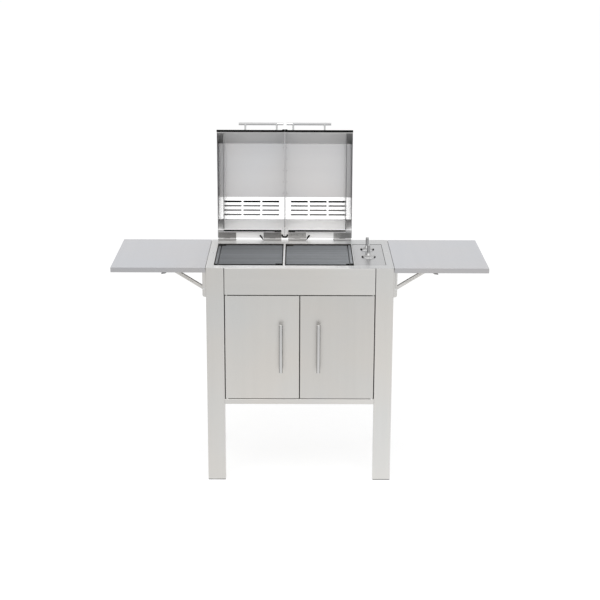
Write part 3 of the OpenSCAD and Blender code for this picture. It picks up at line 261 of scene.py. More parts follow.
MATERIALS = {
    # Painted light and shade across the stand: the right leg and the stand's panels lighter to the right,
    # the right door darker.
    "leg": brushed("steel_upright_grain", WARM, "z", painted_shading=(("X", 0.0, 0.3, 1.0, 1.03),)),
    "door": brushed("steel_doors", WARM, "z", painted_shading=(("X", -0.005, 0.005, 1.0, 0.95),)),
    "panel": brushed("steel_level_grain", WARM, "x", painted_shading=(("X", 0.0, 0.2, 1.0, 1.045),)),
    "side": brushed("steel_deep_grain", WARM, "y"),
    "deck": brushed("steel_deck", DECK, "x", metal=0.5, painted_shading=DECK_PAINTED_SHADE),
    "control": brushed("steel_control_panel", (0.482, 0.482, 0.485), "x", rough=0.30, tint=0.01),
    "shelf": brushed("steel_shelf", COOL, "y", rough=0.36, tint=0.015),
    # The shelves' rims, painted darker as shade.
    "shelf_rim": brushed("steel_shelf_rim", (0.545, 0.54, 0.55), "x", rough=0.36, tint=0.015),
    "lid": brushed("steel_lid", LID, "x", rough=0.2, tint=0.015, contrast=0.025),
    # Inside a lid each zone is a lit or shaded copy of one steel, painted light and shade, and the right
    # lid is painted lighter; the ends are painted darker as shade.
    "lid_inner": brushed("steel_lid_inside", (0.855, 0.845, 0.85), "x", rough=0.2, tint=0.015,
                         contrast=0.025, metal=0.55, painted_shading=((*RIGHT_LID_LIGHTER, 1.02),)),
    "lid_slope": brushed("steel_lid_slope", (0.86, 0.855, 0.85), "x", rough=0.5, tint=0.01, contrast=0.05,
                         metal=0.25, painted_shading=((*RIGHT_LID_LIGHTER, 1.045),)),
    "lid_vent": brushed("steel_lid_vent", (0.74, 0.74, 0.74), "x", rough=0.24, tint=0.01, contrast=0.02,
                        metal=0.8),
    "lid_skirt": brushed("steel_lid_skirt", (0.95, 0.945, 0.94), "x", rough=0.5, tint=0.01, contrast=0.03,
                         metal=0.4, painted_shading=((*RIGHT_LID_LIGHTER, 1.08),)),
    # A pale lit copy of the steel as painted light: the lids' flanges, the ends of the deck and left shelf
    # at their gap, and the fronts of the dial rings.
    "lid_flange": brushed("steel_pale_painted_light", (0.93, 0.925, 0.92), "x", rough=0.6, tint=0.01, contrast=0.03,
                          metal=0.15, painted_shading=((*RIGHT_LID_LIGHTER, 1.045),)),
    "lid_side": brushed("steel_lid_side", (0.78, 0.78, 0.78), "z", tint=0.01, contrast=0.35, metal=0.7),
    "lid_end": brushed("steel_shaded_ends_of_lid", (0.50, 0.50, 0.50), "x", rough=0.5, tint=0.01, contrast=0.1,
                       metal=0.3),
    # Painted shade in the louvre slots: black in the top row, dark grey in the rows below.
    "louvre": rubber("louvre_shade", (0.012, 0.012, 0.012)),
    "louvre_low": brushed("steel_louvre_shade_grey", (0.24, 0.24, 0.24), "x", rough=0.5),
    "inner": brushed("steel_plain", (0.50, 0.50, 0.495), "y", rough=0.42),
    "fire": heated("steel_fire_box", (0.14, 0.135, 0.13), "y"),
    # Black: painted shade in the deck's openings, round the plates and by the control panel, a painted dark
    # reflection on the dial rings, and the real black dip of the hinge grips.
    "soot": rubber("soot", (0.014, 0.013, 0.012)),
    "tray": heated("steel_tray", (0.55, 0.545, 0.53), "y"),
    "bright": polished("steel_polished", (0.72, 0.72, 0.715)),
    "bar": polished("steel_bar", (0.63, 0.627, 0.62), rough=0.32),
    # Painted dark reflection on the sides of the door handles.
    "bar_flank": polished("steel_bar_dark_sides_painted", (0.20, 0.197, 0.19), rough=0.4),
    "lid_bar": brushed("steel_lid_bar", (0.60, 0.60, 0.60), "x", rough=0.55, tint=0.01, contrast=0.03,
                       metal=0.35),
    "knob": polished("steel_knob", (0.47, 0.47, 0.47), rough=0.36),
    "hinge": brushed("steel_hinge", (0.36, 0.354, 0.348), "x", rough=0.38, contrast=0.35),
    # Lighter copies of the hinge steel as painted light: the right lid's leaves, darker again towards the
    # right, the knuckles and the fixed leaves.
    "hinge_pale": brushed("steel_hinge_right_painted_light", (0.60, 0.594, 0.585), "x", rough=0.38, contrast=0.3,
                          painted_shading=(("X", 0.15, 0.18, 1.0, 0.6),)),
    "hinge_low": brushed("steel_hinge_painted_light", (0.55, 0.545, 0.54), "x", rough=0.42, contrast=0.2, metal=0.8),
    # Dark steel of the hinge pins, also painted on the baffles' front edges as shade.
    "edge": brushed("steel_dark_pins_and_edge_shade", (0.16, 0.16, 0.16), "z", rough=0.4),
    "iron": cast_iron("cast_iron", (0.278, 0.291, 0.306), PLATE_PAINTED_LIGHT_AND_SHADE),
    # The grooves between the plates' ribs, painted darker as shade.
    "iron_low": cast_iron("cast_iron_groove_shade", (0.083, 0.088, 0.094), PLATE_PAINTED_LIGHT_AND_SHADE),
    "sheath": sheath("element_sheath", (0.085, 0.08, 0.08)),
    "rubber": rubber("seal_rubber", (0.006, 0.006, 0.006)),
    "plastic": moulded("black_plastic", (0.022, 0.022, 0.022)),
}
BY_SLOT = {
    "stand_steel": "panel", "deck_steel": "deck", "shelf_steel": "shelf", "lid_steel": "lid",
    "inner_steel": "inner", "bright_steel": "bright", "hinge_steel": "hinge", "cast_iron": "iron",
    "element_sheath": "sheath", "seal_rubber": "rubber", "black_plastic": "plastic",
}
BY_NODE = {
    "front_leg_left": "leg", "front_leg_right": "leg", "back_legs": "leg", "side_panels": "side",
    "door_left": "door", "door_right": "door", "wall_arms": "leg", "control_panel": "control",
    "fire_box_left": "fire", "fire_box_right": "fire", "drip_tray_left": "tray", "drip_tray_right": "tray",
    "door_handle_left": "bar", "door_handle_right": "bar", "lid_handle_left": "lid_bar",
    "lid_handle_right": "lid_bar", "hinge_fixed_leaves": "hinge_low", "hinge_pins_left": "edge",
    "hinge_pins_right": "edge", "knob_front": "knob", "knob_back": "knob",
}


def finish_of(node):
    return BY_NODE.get(node, BY_SLOT[SLOT[node]])


def paint(obj, *keys):
    """Gives an object its finishes. An empty list isn't cleared, since that would reset its faces."""
    if obj.data.materials:
        obj.data.materials.clear()
    for key in keys:
        obj.data.materials.append(MATERIALS[key])


# Pieces

def new_piece(name, bm, node, *keys):
    """A mesh piece that rides on the body of a CAD node, with the given finishes or else the node's finish.
    """
    bmesh.ops.recalc_face_normals(bm, faces=bm.faces)
    mesh = bpy.data.meshes.new(name)
    bm.to_mesh(mesh)
    bm.free()
    obj = bpy.data.objects.new(name, mesh)
    bpy.context.scene.collection.objects.link(obj)
    paint(obj, *(keys or (finish_of(node),)))
    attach(obj, BODY[node])
    return obj


def smooth(obj):
    """Smooth shading, with a sharp edge where faces meet at more than 32 degrees."""
    obj.data.shade_smooth()
    obj.data.set_sharp_from_angle(angle=math.radians(32))


def rolled(obj, width):
    """Rolls the edges of a piece and keeps its flat faces flat."""
    bevel = obj.modifiers.new("edges", "BEVEL")
    bevel.width = width * MM
    bevel.segments = 2
    bevel.limit_method = "ANGLE"
    bevel.angle_limit = math.radians(35)
    bevel.miter_outer = "MITER_ARC"
    flat = obj.modifiers.new("flat_faces", "WEIGHTED_NORMAL")
    flat.weight = 100
    flat.keep_sharp = True


def clean_mesh(node):
    """The mesh of a CAD node with its triangles joined into flat faces without hollow corners."""
    bm = bmesh.new()
    bm.from_mesh(NODES[node].data)
    bmesh.ops.remove_doubles(bm, verts=bm.verts, dist=1e-6)
    bmesh.ops.dissolve_limit(bm, angle_limit=math.radians(0.6), verts=bm.verts, edges=bm.edges)
    bmesh.ops.connect_verts_concave(bm, faces=bm.faces)
    return bm


def softened(node, width, regions=None, cuts=()):
    """A copy of a CAD node with rolled edges, which stands for it. Cuts (axis, metres) part its faces
    without a gap, and regions(face) may name another finish for a face."""
    bm = clean_mesh(node)
    for axis, at in cuts:
        parts = bm.verts[:] + bm.edges[:] + bm.faces[:]
        bmesh.ops.bisect_plane(bm, geom=parts, plane_co=axis * at, plane_no=axis)
    bmesh.ops.recalc_face_normals(bm, faces=bm.faces)
    keys = [finish_of(node)]
    if regions:
        for face in bm.faces:
            key = regions(face) or keys[0]
            if key not in keys:
                keys.append(key)
            face.material_index = keys.index(key)
    obj = new_piece(node + "_dressed", bm, node, *keys)
    smooth(obj)
    rolled(obj, width)
    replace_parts(obj, node)


def slab(name, node, low, high, key):
    """A small block between two corners."""
    bm = bmesh.new()
    size = Vector(high) - Vector(low)
    centre = (Vector(high) + Vector(low)) / 2
    bmesh.ops.create_cube(bm, size=1, matrix=Matrix.Translation(centre) @ Matrix.Diagonal(size.to_4d()))
    obj = new_piece(name, bm, node, key)
    return obj


def facing(direction):
    """The turn that takes +Z to a direction."""
    return Z.rotation_difference(Vector(direction)).to_matrix()


def hexagon(angle):
    """How far a hexagon of unit inner radius reaches in the direction of an angle."""
    return 1 / math.cos((angle + math.pi / 6) % (math.pi / 3) - math.pi / 6)


def lathe(bm, profile, at, direction=Z, steps=64):
    """Turns (radius, height) points in millimetres about an axis. A third value makes a ring a hexagon."""
    turn = facing(direction)
    rings = []
    for radius, height, *six in profile:
        count = steps if radius > 1e-6 else 1
        ring = []
        for i in range(count):
            a = 2 * math.pi * i / steps
            r = radius * MM * (hexagon(a) if six else 1)
            reach = Vector((r * math.cos(a), r * math.sin(a), height * MM))
            ring.append(bm.verts.new(Vector(at) + turn @ reach))
        rings.append(ring)
    for low, high in zip(rings, rings[1:]):
        for i in range(steps):
            j = i + 1
            corners = (low[i % len(low)], low[j % len(low)], high[j % len(high)], high[i % len(high)])
            corners = list(dict.fromkeys(corners))
            if len(corners) > 2:
                bm.faces.new(corners)


def turned_piece(name, node, profiles, *keys, steps=64):
    """A piece made of turned bodies: each is (profile, point, direction)."""
    bm = bmesh.new()
    for profile, at, direction in profiles:
        lathe(bm, profile, at, direction, steps)
    obj = new_piece(name, bm, node, *keys)
    smooth(obj)
    return obj


def arc(cx, cy, r, start, end, count):
    """Points on an arc of a profile, from one angle to another in degrees."""
    angles = [math.radians(start + (end - start) * i / count) for i in range(count + 1)]
    return [(cx + r * math.cos(a), cy + r * math.sin(a)) for a in angles]


def domed_bar(radius, length, edge):
    """The profile of a bar with softly rounded ends, about its middle."""
    half = length / 2
    tail = arc(radius - edge, -half + edge, edge, -90, 0, 5)
    head = arc(radius - edge, half - edge, edge, 0, 90, 5)
    return [(0, -half)] + tail + head + [(0, half)]


def screw_head(radius, height, socket):
    """The profile of a pan head with a hexagon socket."""
    crown = arc(radius - height * 0.8, height * 0.2, height * 0.8, 0, 78, 5)
    return [(radius, 0)] + crown + [(socket * 1.2, height), (socket, height - 0.15, True),
                                    (socket, height * 0.35, True), (0, height * 0.3)]


def middle_of(node):
    """The lowest corner, the highest corner and the middle of a node's box."""
    low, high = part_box(node)
    return low, high, (low + high) / 2


# Measures of the lids in millimetres, standing open

KNUCKLE_R = 4
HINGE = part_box("hinge_fixed_leaves")[1] - Vector((0, KNUCKLE_R, KNUCKLE_R)) * MM
HINGE.x = 0
# Heights above the hinge at which the sheet starts and bends, and above which the top row of slots lies
FLANGE_FOOT = 3
FLANGE_TOP = 40
SKIRT_TOP = 67
VENT_TOP = 157
ROOF_TOP = 392
TOP_ROW = 133
# Where the vented sheet and the front slope face, and the foot of the vented sheet
VENT_OUTWARD = Vector((0, 90, -40)).normalized()
VENT_UP = Vector((0, 40, 90)).normalized()
VENT_FOOT = HINGE + Vector((0, 89.5, SKIRT_TOP)) * MM
LID_SLOPE = Vector((0, 125, 78)).normalized()
SHEET = 1.2
# The seam between the lids, in metres, its weld flanges with rivets, its lip, and the tongue at its foot
SEAM_X = (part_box("lid_shell_left")[1].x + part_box("lid_shell_right")[0].x) / 2
SEAM_FLANGE = 15
RIVET_AREA = 30
SEAM_LIP, LIP_THICK = 4, 0.7
TONGUE_R, TONGUE_TIP = 11, 9
# How far the corner of the front seal stands above the rest of it
SEAL_END = 3
# The outer sides of the two baffles, in metres
BAFFLES = (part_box("lid_baffle_left")[0].x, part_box("lid_baffle_right")[1].x)
# The least part of a normal along an axis that its face is said to face
MOSTLY = 0.7


# Finishes by place

def vent_depth(point):
    """How far a point lies behind the inner face of the vented sheet, in millimetres."""
    return (point - VENT_FOOT).dot(VENT_OUTWARD) / MM + SHEET


def in_slot(centre):
    """Whether a face with this centre is a wall of a louvre slot."""
    return SKIRT_TOP < (centre.z - HINGE.z) / MM < VENT_TOP and vent_depth(centre) > SHEET / 4


def lid_regions(face):
    """Painted light and shade: which lit or shaded copy of the steel a face of an open lid takes, by its
    height above the hinge and where it faces.
    """
    centre = face.calc_center_median()
    height = (centre.z - HINGE.z) / MM
    seam = abs(centre.x - SEAM_X) / MM
    n = face.normal
    if abs(n.x) > MOSTLY:
        return "lid_side"
    rivet_flank = abs(n.x) > 0.15
    rivet_head = len(face.verts) > 8 and face.calc_area() < RIVET_AREA * MM * MM
    if (rivet_flank or rivet_head) and VENT_TOP < height < ROOF_TOP and seam < SEAM_FLANGE - 3:
        return "hinge"
    outside = n.y > 0.25
    if height < FLANGE_TOP and not BAFFLES[0] < centre.x < BAFFLES[1] and not outside:
        return "lid_end"
    if outside or height < FLANGE_FOOT:
        return None
    if height > ROOF_TOP:
        return "lid_slope"
    if height > VENT_TOP:
        return "lid_inner"
    if height > SKIRT_TOP:
        # Slot walls are painted as shade: black in the top row, dark grey below.
        if in_slot(centre):
            return "louvre" if height > TOP_ROW else "louvre_low"
        return "lid_vent"
    if height > FLANGE_TOP:
        return "lid_skirt"
    return "lid_flange"


def shelf_regions(face):
    """The rim is painted darker than the top as shade, and the left shelf's end at the deck is painted pale
    as light.
    """
    if face.normal.z > MOSTLY:
        return "shelf"
    return "lid_flange" if face.normal.x > MOSTLY and face.calc_center_median().x < 0 else "shelf_rim"


def baffle_regions(face):
    """The lid side that a baffle faces, and its front edge painted dark as shade."""
    if face.normal.y < -MOSTLY and abs(face.normal.x) < 0.3:
        return "edge"
    return "lid_side"


def leaf_regions(face):
    """Knuckles are painted paler than the leaves, and the right lid's leaves paler than the left lid's:
    painted light.
    """
    centre = face.calc_center_median()
    if centre.z < HINGE.z + (KNUCKLE_R + 1) * MM:
        return "hinge_low"
    return "hinge_pale" if centre.x > SEAM_X else "hinge"


def deck_regions(face):
    """The walls of the deck's openings are painted black as shade, and its end at the left shelf is painted
    pale as light.
    """
    low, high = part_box("deck")
    rim = 8
    c = face.calc_center_median()
    if min(c.x - low.x, high.x - c.x, c.y - low.y, high.y - c.y) > rim * MM:
        return "soot" if abs(face.normal.z) < 0.5 else None
    return "lid_flange" if face.normal.x < -MOSTLY else None


def plate_regions(node):
    """Painted shade on a plate: a black rim, black corners by its notches, and darker grooves between its
    ribs.
    """
    low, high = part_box(node)
    # The rims' widths, then the black corners of painted shade: on the left at the rear, on the right at
    # the front
    side_rim, front_rim, rear_rim = 2.4, 37, 8
    left_x, left_y = 32, 26
    right_x, right_y = 30, 49
    rib_tops = high.z - 1.3 * MM

    def region(face):
        c = face.calc_center_median()
        left, right = (c.x - low.x) / MM, (high.x - c.x) / MM
        front, rear = (c.y - low.y) / MM, (high.y - c.y) / MM
        if min(left, right) < side_rim or front < front_rim or rear < rear_rim:
            return "soot"
        if left < left_x and rear < left_y or right < right_x and front < right_y:
            return "soot"
        return "iron_low" if c.z < rib_tops else None

    cuts = [(X, low.x + side_rim * MM), (X, low.x + left_x * MM)]
    cuts += [(X, high.x - side_rim * MM), (X, high.x - right_x * MM)]
    cuts += [(Y, low.y + front_rim * MM), (Y, low.y + right_y * MM)]
    cuts += [(Y, high.y - rear_rim * MM), (Y, high.y - left_y * MM)]
    return region, cuts


REGIONS = {
    "lid_shell_left": (lid_regions, [(X, BAFFLES[0])]), "lid_shell_right": (lid_regions, [(X, BAFFLES[1])]),
    "shelf_left": (shelf_regions, ()), "shelf_right": (shelf_regions, ()),
    "lid_baffle_left": (baffle_regions, ()), "lid_baffle_right": (baffle_regions, ()),
    "hinge_moving_leaves_left": (leaf_regions, ()), "hinge_moving_leaves_right": (leaf_regions, ()),
    "deck": (deck_regions, ()), "grill_plate_left": plate_regions("grill_plate_left"),
    "grill_plate_right": plate_regions("grill_plate_right"),
}

# The radius to which each node's edges are rolled
DRESSED = {
    "front_leg_left": 0.4, "front_leg_right": 0.4, "back_legs": 0.4, "feet": 0.8, "front_apron": 0.3,
    "side_panels": 0.3, "back_panel": 0.25, "cabinet_floor": 0.3, "deck": 0.4, "control_panel": 0.35,
    "fire_box_left": 0.3, "fire_box_right": 0.3, "element_supports": 0.4, "grill_plate_left": 0.7,
    "grill_plate_right": 0.7, "tray_runners": 0.3, "drip_tray_left": 0.3, "drip_tray_right": 0.3,
    "heat_shield": 0.3, "regulators": 0.5, "terminal_box": 1.0, "door_left": 0.3, "door_right": 0.3,
    "door_catches": 0.8, "hinge_fixed_leaves": 0.3, "lid_baffle_left": 0.3, "lid_baffle_right": 0.3,
    "lid_seals_left": 0.8, "lid_seals_right": 0.8, "hinge_moving_leaves_left": 0.3,
    "hinge_moving_leaves_right": 0.3, "wall_arms": 0.4, "shelf_left": 0.5, "shelf_right": 0.5,
    "shelf_arms_left": 0.3, "shelf_arms_right": 0.3, "struts_left": 0.3, "struts_right": 0.3,
    "release_levers_left": 0.5, "release_levers_right": 0.5, "lid_shell_left": 0.25,
    "lid_shell_right": 0.25,
}


# Handles and knobs

def lid_handle(side, sign):
    """Bar with rounded ends on two turned posts with collars, and a polished sleeve at the seam."""
    node = "lid_handle_" + side
    low, high, middle = middle_of(node)
    radius, post, post_at, foot, sleeve_end = 6, 4, 0.35, -50, 26
    length = high.x - low.x
    top = Vector((middle.x, high.y - radius * MM, high.z - radius * MM))
    stem = [(post, foot), (post + 3, foot), (post + 3, foot + 2.5), (post + 2.4, foot + 3),
            (post, foot + 3.6), (post, -7.5), (post + 1, -6.4), (post + 1.4, -5.5), (post, -4), (0, -4)]
    profiles = [(domed_bar(radius - 0.25, length / MM, 1.2), top, X)]
    profiles += [(stem, top + X * (x * length * post_at), LID_SLOPE) for x in (-1, 1)]
    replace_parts(turned_piece(node + "_turned", node, profiles), node)
    sleeve = [(radius - 1.2, 0.2), (radius - 0.4, 0.5), (radius, 1.2), (radius, sleeve_end),
              (radius - 0.3, sleeve_end + 0.6)]
    turned_piece(node + "_sleeve", node, [(sleeve, top - X * sign * length / 2, X * sign)], "bright")


def door_handle(side):
    """Bar with rounded ends and a painted dark reflection on its sides, on two posts with collars."""
    node = "door_handle_" + side
    low, high, middle = middle_of(node)
    radius, post, inset = 7, 4.5, 26
    out = (high.y - low.y) / MM - radius
    top = Vector((middle.x, low.y + radius * MM, middle.z))
    stem = [(post + 3, -out), (post + 3, -out + 2), (post + 2.2, -out + 2.6), (post, -out + 3),
            (post, -9), (post + 1, -8), (post + 1.2, -6.5), (post, -5)]
    profiles = [(domed_bar(radius, (high.z - low.z) / MM, 1.5), top, Z)]
    profiles += [(stem, top + Z * z * ((high.z - low.z) / 2 - inset * MM), -Y) for z in (-1, 1)]
    bar = turned_piece(node + "_turned", node, profiles, "bar", "bar_flank")
    for face in bar.data.polygons:
        flank, front = abs(face.normal.x) > 0.72, face.normal.y < -0.75
        face.material_index = 1 if flank and not front else 0
    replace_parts(bar, node)


def knob(place):
    """A polished knob: rolled skirt edge, a flare that sweeps into the stem, a groove and a domed end."""
    node = "knob_" + place
    low, high, middle = middle_of(node)
    r, h = (high.x - low.x) / MM / 2, (high.z - low.z) / MM
    bore, stem, skirt_h, flare_h = 3.1, 6.5, 2.6, 16.4
    flare = []
    for degrees in range(0, 91, 5):
        a = math.radians(degrees)
        flare.append((stem + (r - 1.2 - stem) * (1 - math.sin(a)), skirt_h + flare_h * (1 - math.cos(a))))
    profile = [(bore, 0), (r - 0.5, 0)] + arc(r - 0.6, 1.1, 0.6, -60, 90, 6) + flare
    profile += [(stem, h - 9), (stem - 0.5, h - 8.6), (stem - 0.5, h - 8), (stem, h - 7.6)]
    profile += arc(stem - 3, h - 3, 3, 0, 90, 6) + [(0, h)]
    at = Vector((middle.x, middle.y, low.z))
    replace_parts(turned_piece(node + "_turned", node, [(profile, at, Z)], steps=96), node)


def dial_rings():
    """A ring round each knob, painted black at its left and its right as a dark reflection, and pale at its
    front as a highlight.
    """
    node = "knob_rings"
    bore, flat_r, edge, thick = 4, 28.2, 0.8, 2
    profile = [(bore, 0), (flat_r, 0)] + arc(flat_r, thick - edge, edge, -60, 90, 5) + [(bore, thick)]
    places = []
    for knob_node in ("knob_front", "knob_back"):
        middle = middle_of(knob_node)[2]
        places.append(Vector((middle.x, middle.y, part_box(node)[0].z)))
    profiles = [(profile, at, Z) for at in places]
    rings = turned_piece(node + "_turned", node, profiles, "knob", "soot", "lid_flange", steps=96)
    black_reach = math.cos(math.radians(40))
    for face in rings.data.polygons:
        at = min(places, key=lambda place: (place - face.center).length)
        reach = face.center - at
        black = abs(reach.x) > black_reach * reach.xy.length
        face.material_index = 1 if black else 2 if reach.y < 0 else 0
    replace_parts(rings, node)


# Screws and the gland

def screws(name, node, places, direction, radius, height, key="bright"):
    """A group of socket screws, each standing on a point."""
    profile = screw_head(radius, height, radius * 0.42)
    turned_piece(name, node, [(profile, at, direction) for at in places], key, steps=24)


def deck_screws():
    """Socket screws with their shanks in the deck's side strips."""
    node = "deck_screws"
    low, high, middle = middle_of(node)
    deck_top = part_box("deck")[1].z
    head, shank, tip = 4.2, 2, 1.5
    deep = (deck_top - low.z) / MM
    places = [Vector((x, middle.y, deck_top)) for x in (low.x + head * MM, high.x - head * MM)]
    profiles = [(screw_head(head, 1.7, 1.8), at, Z) for at in places]
    profiles += [([(shank, 0), (shank, 0.5 - deep), (tip, -deep), (0, -deep)], at, Z) for at in places]
    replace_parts(turned_piece(node + "_turned", node, profiles, steps=24), node)


def hinge_screws():
    """Three screws in each leaf of the lids' hinges."""
    leaf, leaf_thick, count = 75, 2, 3
    head, height = 2.9, 1.3
    leaf_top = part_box("deck")[1].z / MM + leaf_thick
    fixed_row, moving_row, moving_face = HINGE.y / MM - 13, HINGE.z / MM + 19, HINGE.y / MM + 2.5
    fixed = []
    for side in ("left", "right"):
        node = "hinge_moving_leaves_" + side
        low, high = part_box(node)
        ends = (low.x / MM, high.x / MM - leaf)
        xs = [x + leaf * (i + 0.5) / count for x in ends for i in range(count)]
        fixed += [Vector((x, fixed_row, leaf_top)) * MM for x in xs]
        moving = [Vector((x, moving_face, moving_row)) * MM for x in xs]
        screws(node + "_screws", node, moving, -Y, head, height, "hinge")
    screws("hinge_fixed_leaves_screws", "hinge_fixed_leaves", fixed, Z, head, height, "hinge_low")


def panel_screws():
    """Screws that hold the wall arms to the legs, and those down both edges of the back panel."""
    arm_face, arm_ys, arm_zs = 376.5, (-262.25, 182.75), (797, 851)
    for side, sign in SIDES:
        places = [Vector((sign * arm_face, y, z)) * MM for y in arm_ys for z in arm_zs]
        screws("wall_arm_screws_" + side, "wall_arms", places, X * sign, 4.5, 2.4)
    edge_x, edge_zs = 322, (350, 480, 610, 740, 885)
    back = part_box("back_panel")[1].y
    places = [Vector((sign * edge_x * MM, back, z * MM)) for sign in (-1, 1) for z in edge_zs]
    screws("back_panel_screws", "back_panel", places, Y, 3.6, 1.8)


def cable_gland():
    """A gland with a hexagon flange, a cap nut with a rounded end, and its bore."""
    node = "cable_gland"
    low, high, middle = middle_of(node)
    bore, body_r, nut, nut_h, cap_r = 4.5, 8, 12.5, 6, 9.5
    length = (high.y - low.y) / MM
    face = (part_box("back_panel")[1].y - low.y) / MM
    body = [(bore, 0), (body_r - 0.4, 0), (body_r, 0.4), (body_r, face), (nut - 0.2, face, True),
            (nut, face + 0.3, True), (nut, face + nut_h - 0.4, True), (nut - 0.3, face + nut_h, True),
            (cap_r, face + nut_h), (cap_r, length - 3)]
    body += arc(cap_r - 2, length - 3, 2, 0, 70, 4)
    body += [(6.4, length - 0.9), (6.0, length), (bore, length), (bore, 0)]
    at = Vector((middle.x, low.y, middle.z))
    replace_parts(turned_piece(node + "_turned", node, [(body, at, Y)], steps=48), node)


# Trim of the lids, hinges and control panel, with strips of painted shade by the baffles, vents and panel

def baffle_edge_shade(side):
    """A narrow dark strip of painted shade along the front edge of a baffle, black beside the vents."""
    node = "lid_baffle_" + side
    low, high, middle = middle_of(node)
    half, front, back, foot, head = 1.2 * MM, 0.2 * MM, 1.4 * MM, 1 * MM, 15 * MM
    x0, x1 = middle.x - half, middle.x + half
    y0, y1 = low.y + front, low.y + back
    parting = HINGE.z + SKIRT_TOP * MM
    for name, z0, z1, key, slot in (("_edge", parting, high.z - head, "edge", "hinge_steel"),
                                    ("_edge_low", low.z + foot, parting, "rubber", "seal_rubber")):
        rolled(slab(node + name, node, (x0, y0, z0), (x1, y1, z1), key), 0.3)


def seam_lip():
    """A rubber lip round the end of the left lid, which closes the gap to the right one."""
    node = "lid_shell_left"
    bm = clean_mesh(node)
    edge = max(v.co.x for v in bm.verts)
    others = [f for f in bm.faces if f.normal.x < 0.9 or f.calc_center_median().x < edge - 0.01 * MM]
    bmesh.ops.delete(bm, geom=others, context="FACES")
    rim = bmesh.ops.inset_region(bm, faces=bm.faces[:], use_boundary=True, use_even_offset=True,
                                 thickness=SEAM_LIP * MM)["faces"]
    bmesh.ops.delete(bm, geom=list(set(bm.faces) - set(rim)), context="FACES")
    lip = bmesh.ops.extrude_face_region(bm, geom=bm.faces[:])["geom"]
    raised = [part for part in lip if isinstance(part, bmesh.types.BMVert)]
    bmesh.ops.translate(bm, verts=raised, vec=X * LIP_THICK * MM)
    new_piece("seam_lip", bm, node, "rubber")


def tongue_channel(side, sign):
    """A quarter ring of rubber channel at the foot of the tongue by the seam."""
    low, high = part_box("lid_shell_" + side)
    seam = high.x if side == "left" else low.x
    centre = Vector((seam, low.y - 0.5 * MM, HINGE.z + (TONGUE_TIP + TONGUE_R) * MM))
    inner, outer, deep, steps = TONGUE_R - 3.2, TONGUE_R + 2.8, 1, 12
    bm = bmesh.new()
    rows = []
    for i in range(steps + 1):
        a = math.radians(90 * i / steps)
        out = Vector((sign * math.cos(a), 0, -math.sin(a)))
        corners = ((inner, 0), (outer, 0), (outer, deep), (inner, deep))
        rows.append([bm.verts.new(centre + out * r * MM + Y * y * MM) for r, y in corners])
    for a, b in zip(rows, rows[1:]):
        for i in range(4):
            bm.faces.new((a[i], a[(i + 1) % 4], b[(i + 1) % 4], b[i]))
    bm.faces.new(rows[0])
    bm.faces.new(rows[-1][::-1])
    new_piece("lid_buffer_" + side, bm, "lid_seals_" + side, "rubber")


def seal_bead(side):
    """The bead along the top of the seal on a lid's front rim."""
    node = "lid_seals_" + side
    low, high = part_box(node)
    front, back, bead_h = 0.3 * MM, 3.3 * MM, 1.2 * MM
    foot = high.z - SEAL_END * MM
    bead = slab("lid_seal_bead_" + side, node, (low.x, low.y + front, foot),
                (high.x, low.y + back, foot + bead_h), "rubber")
    rolled(bead, 0.5)


def slot_grid(node):
    """The louvre slots of a lid in millimetres: each column's two sides, and each row's foot."""
    bm = clean_mesh(node)
    xs, heights = set(), set()
    for face in bm.faces:
        if in_slot(face.calc_center_median()):
            rim = [v.co for v in face.verts if abs(vent_depth(v.co)) < 0.1]
            xs |= {round(co.x / MM, 1) for co in rim}
            heights |= {round((co - VENT_FOOT).dot(VENT_UP) / MM, 1) for co in rim}
    bm.free()
    xs, heights = sorted(xs), sorted(heights)
    return list(zip(xs[::2], xs[1::2])), heights[::2]


def slot_shade_strips(side):
    """A strip of painted shade under each louvre slot: dark grey, and deeper and black in the top row."""
    node = "lid_shell_" + side
    columns, rows = slot_grid(node)
    thick, shade_low, shade_top = 0.2, 1.5, 2.2
    turn = Matrix((X, VENT_OUTWARD, VENT_UP)).transposed().to_4x4()
    bm = bmesh.new()
    for foot in rows:
        top_row = foot == rows[-1]
        lip = shade_top if top_row else shade_low
        for x0, x1 in columns:
            at = VENT_FOOT + VENT_UP * (foot - lip / 2) * MM - VENT_OUTWARD * (SHEET + thick / 2) * MM
            at.x = (x0 + x1) / 2 * MM
            size = Matrix.Diagonal(Vector((x1 - x0, thick, lip)) * MM).to_4x4()
            made = bmesh.ops.create_cube(bm, size=1, matrix=Matrix.Translation(at) @ turn @ size)
            for face in {f for v in made["verts"] for f in v.link_faces}:
                face.material_index = 1 if top_row else 0
    new_piece("vent_shade_strips_" + side, bm, node, "louvre_low", "louvre")


def hinge_grips(side):
    """The pins of a lid's hinges, with a black dipped sleeve on each bent grip."""
    node = "hinge_pins_" + side
    sleeve, start = 0.9, HINGE.z + 3.5 * MM
    bm = clean_mesh(node)
    bm.normal_update()
    for vert in [v for v in bm.verts if v.co.z > start]:
        vert.co += vert.normal * sleeve * MM
    for face in bm.faces:
        face.material_index = 1 if face.calc_center_median().z > start else 0
    obj = new_piece(node + "_dressed", bm, node, finish_of(node), "soot")
    smooth(obj)
    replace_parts(obj, node)


def panel_shadow_line():
    """Black strips of painted shadow between the control panel and the deck, at its back and its right."""
    node = "control_panel"
    low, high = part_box(node)
    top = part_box("deck")[1].z
    sunk, raised, side_w, back_w = 0.6 * MM, 0.3 * MM, 1.7 * MM, 4 * MM
    z0, z1 = top - sunk, top + raised
    x, y = high.x + side_w, high.y + back_w
    slab("panel_shadow_line_back", node, (low.x, high.y, z0), (high.x, y, z1), "soot")
    slab("panel_shadow_line_side", node, (high.x, low.y, z0), (x, y, z1), "soot")


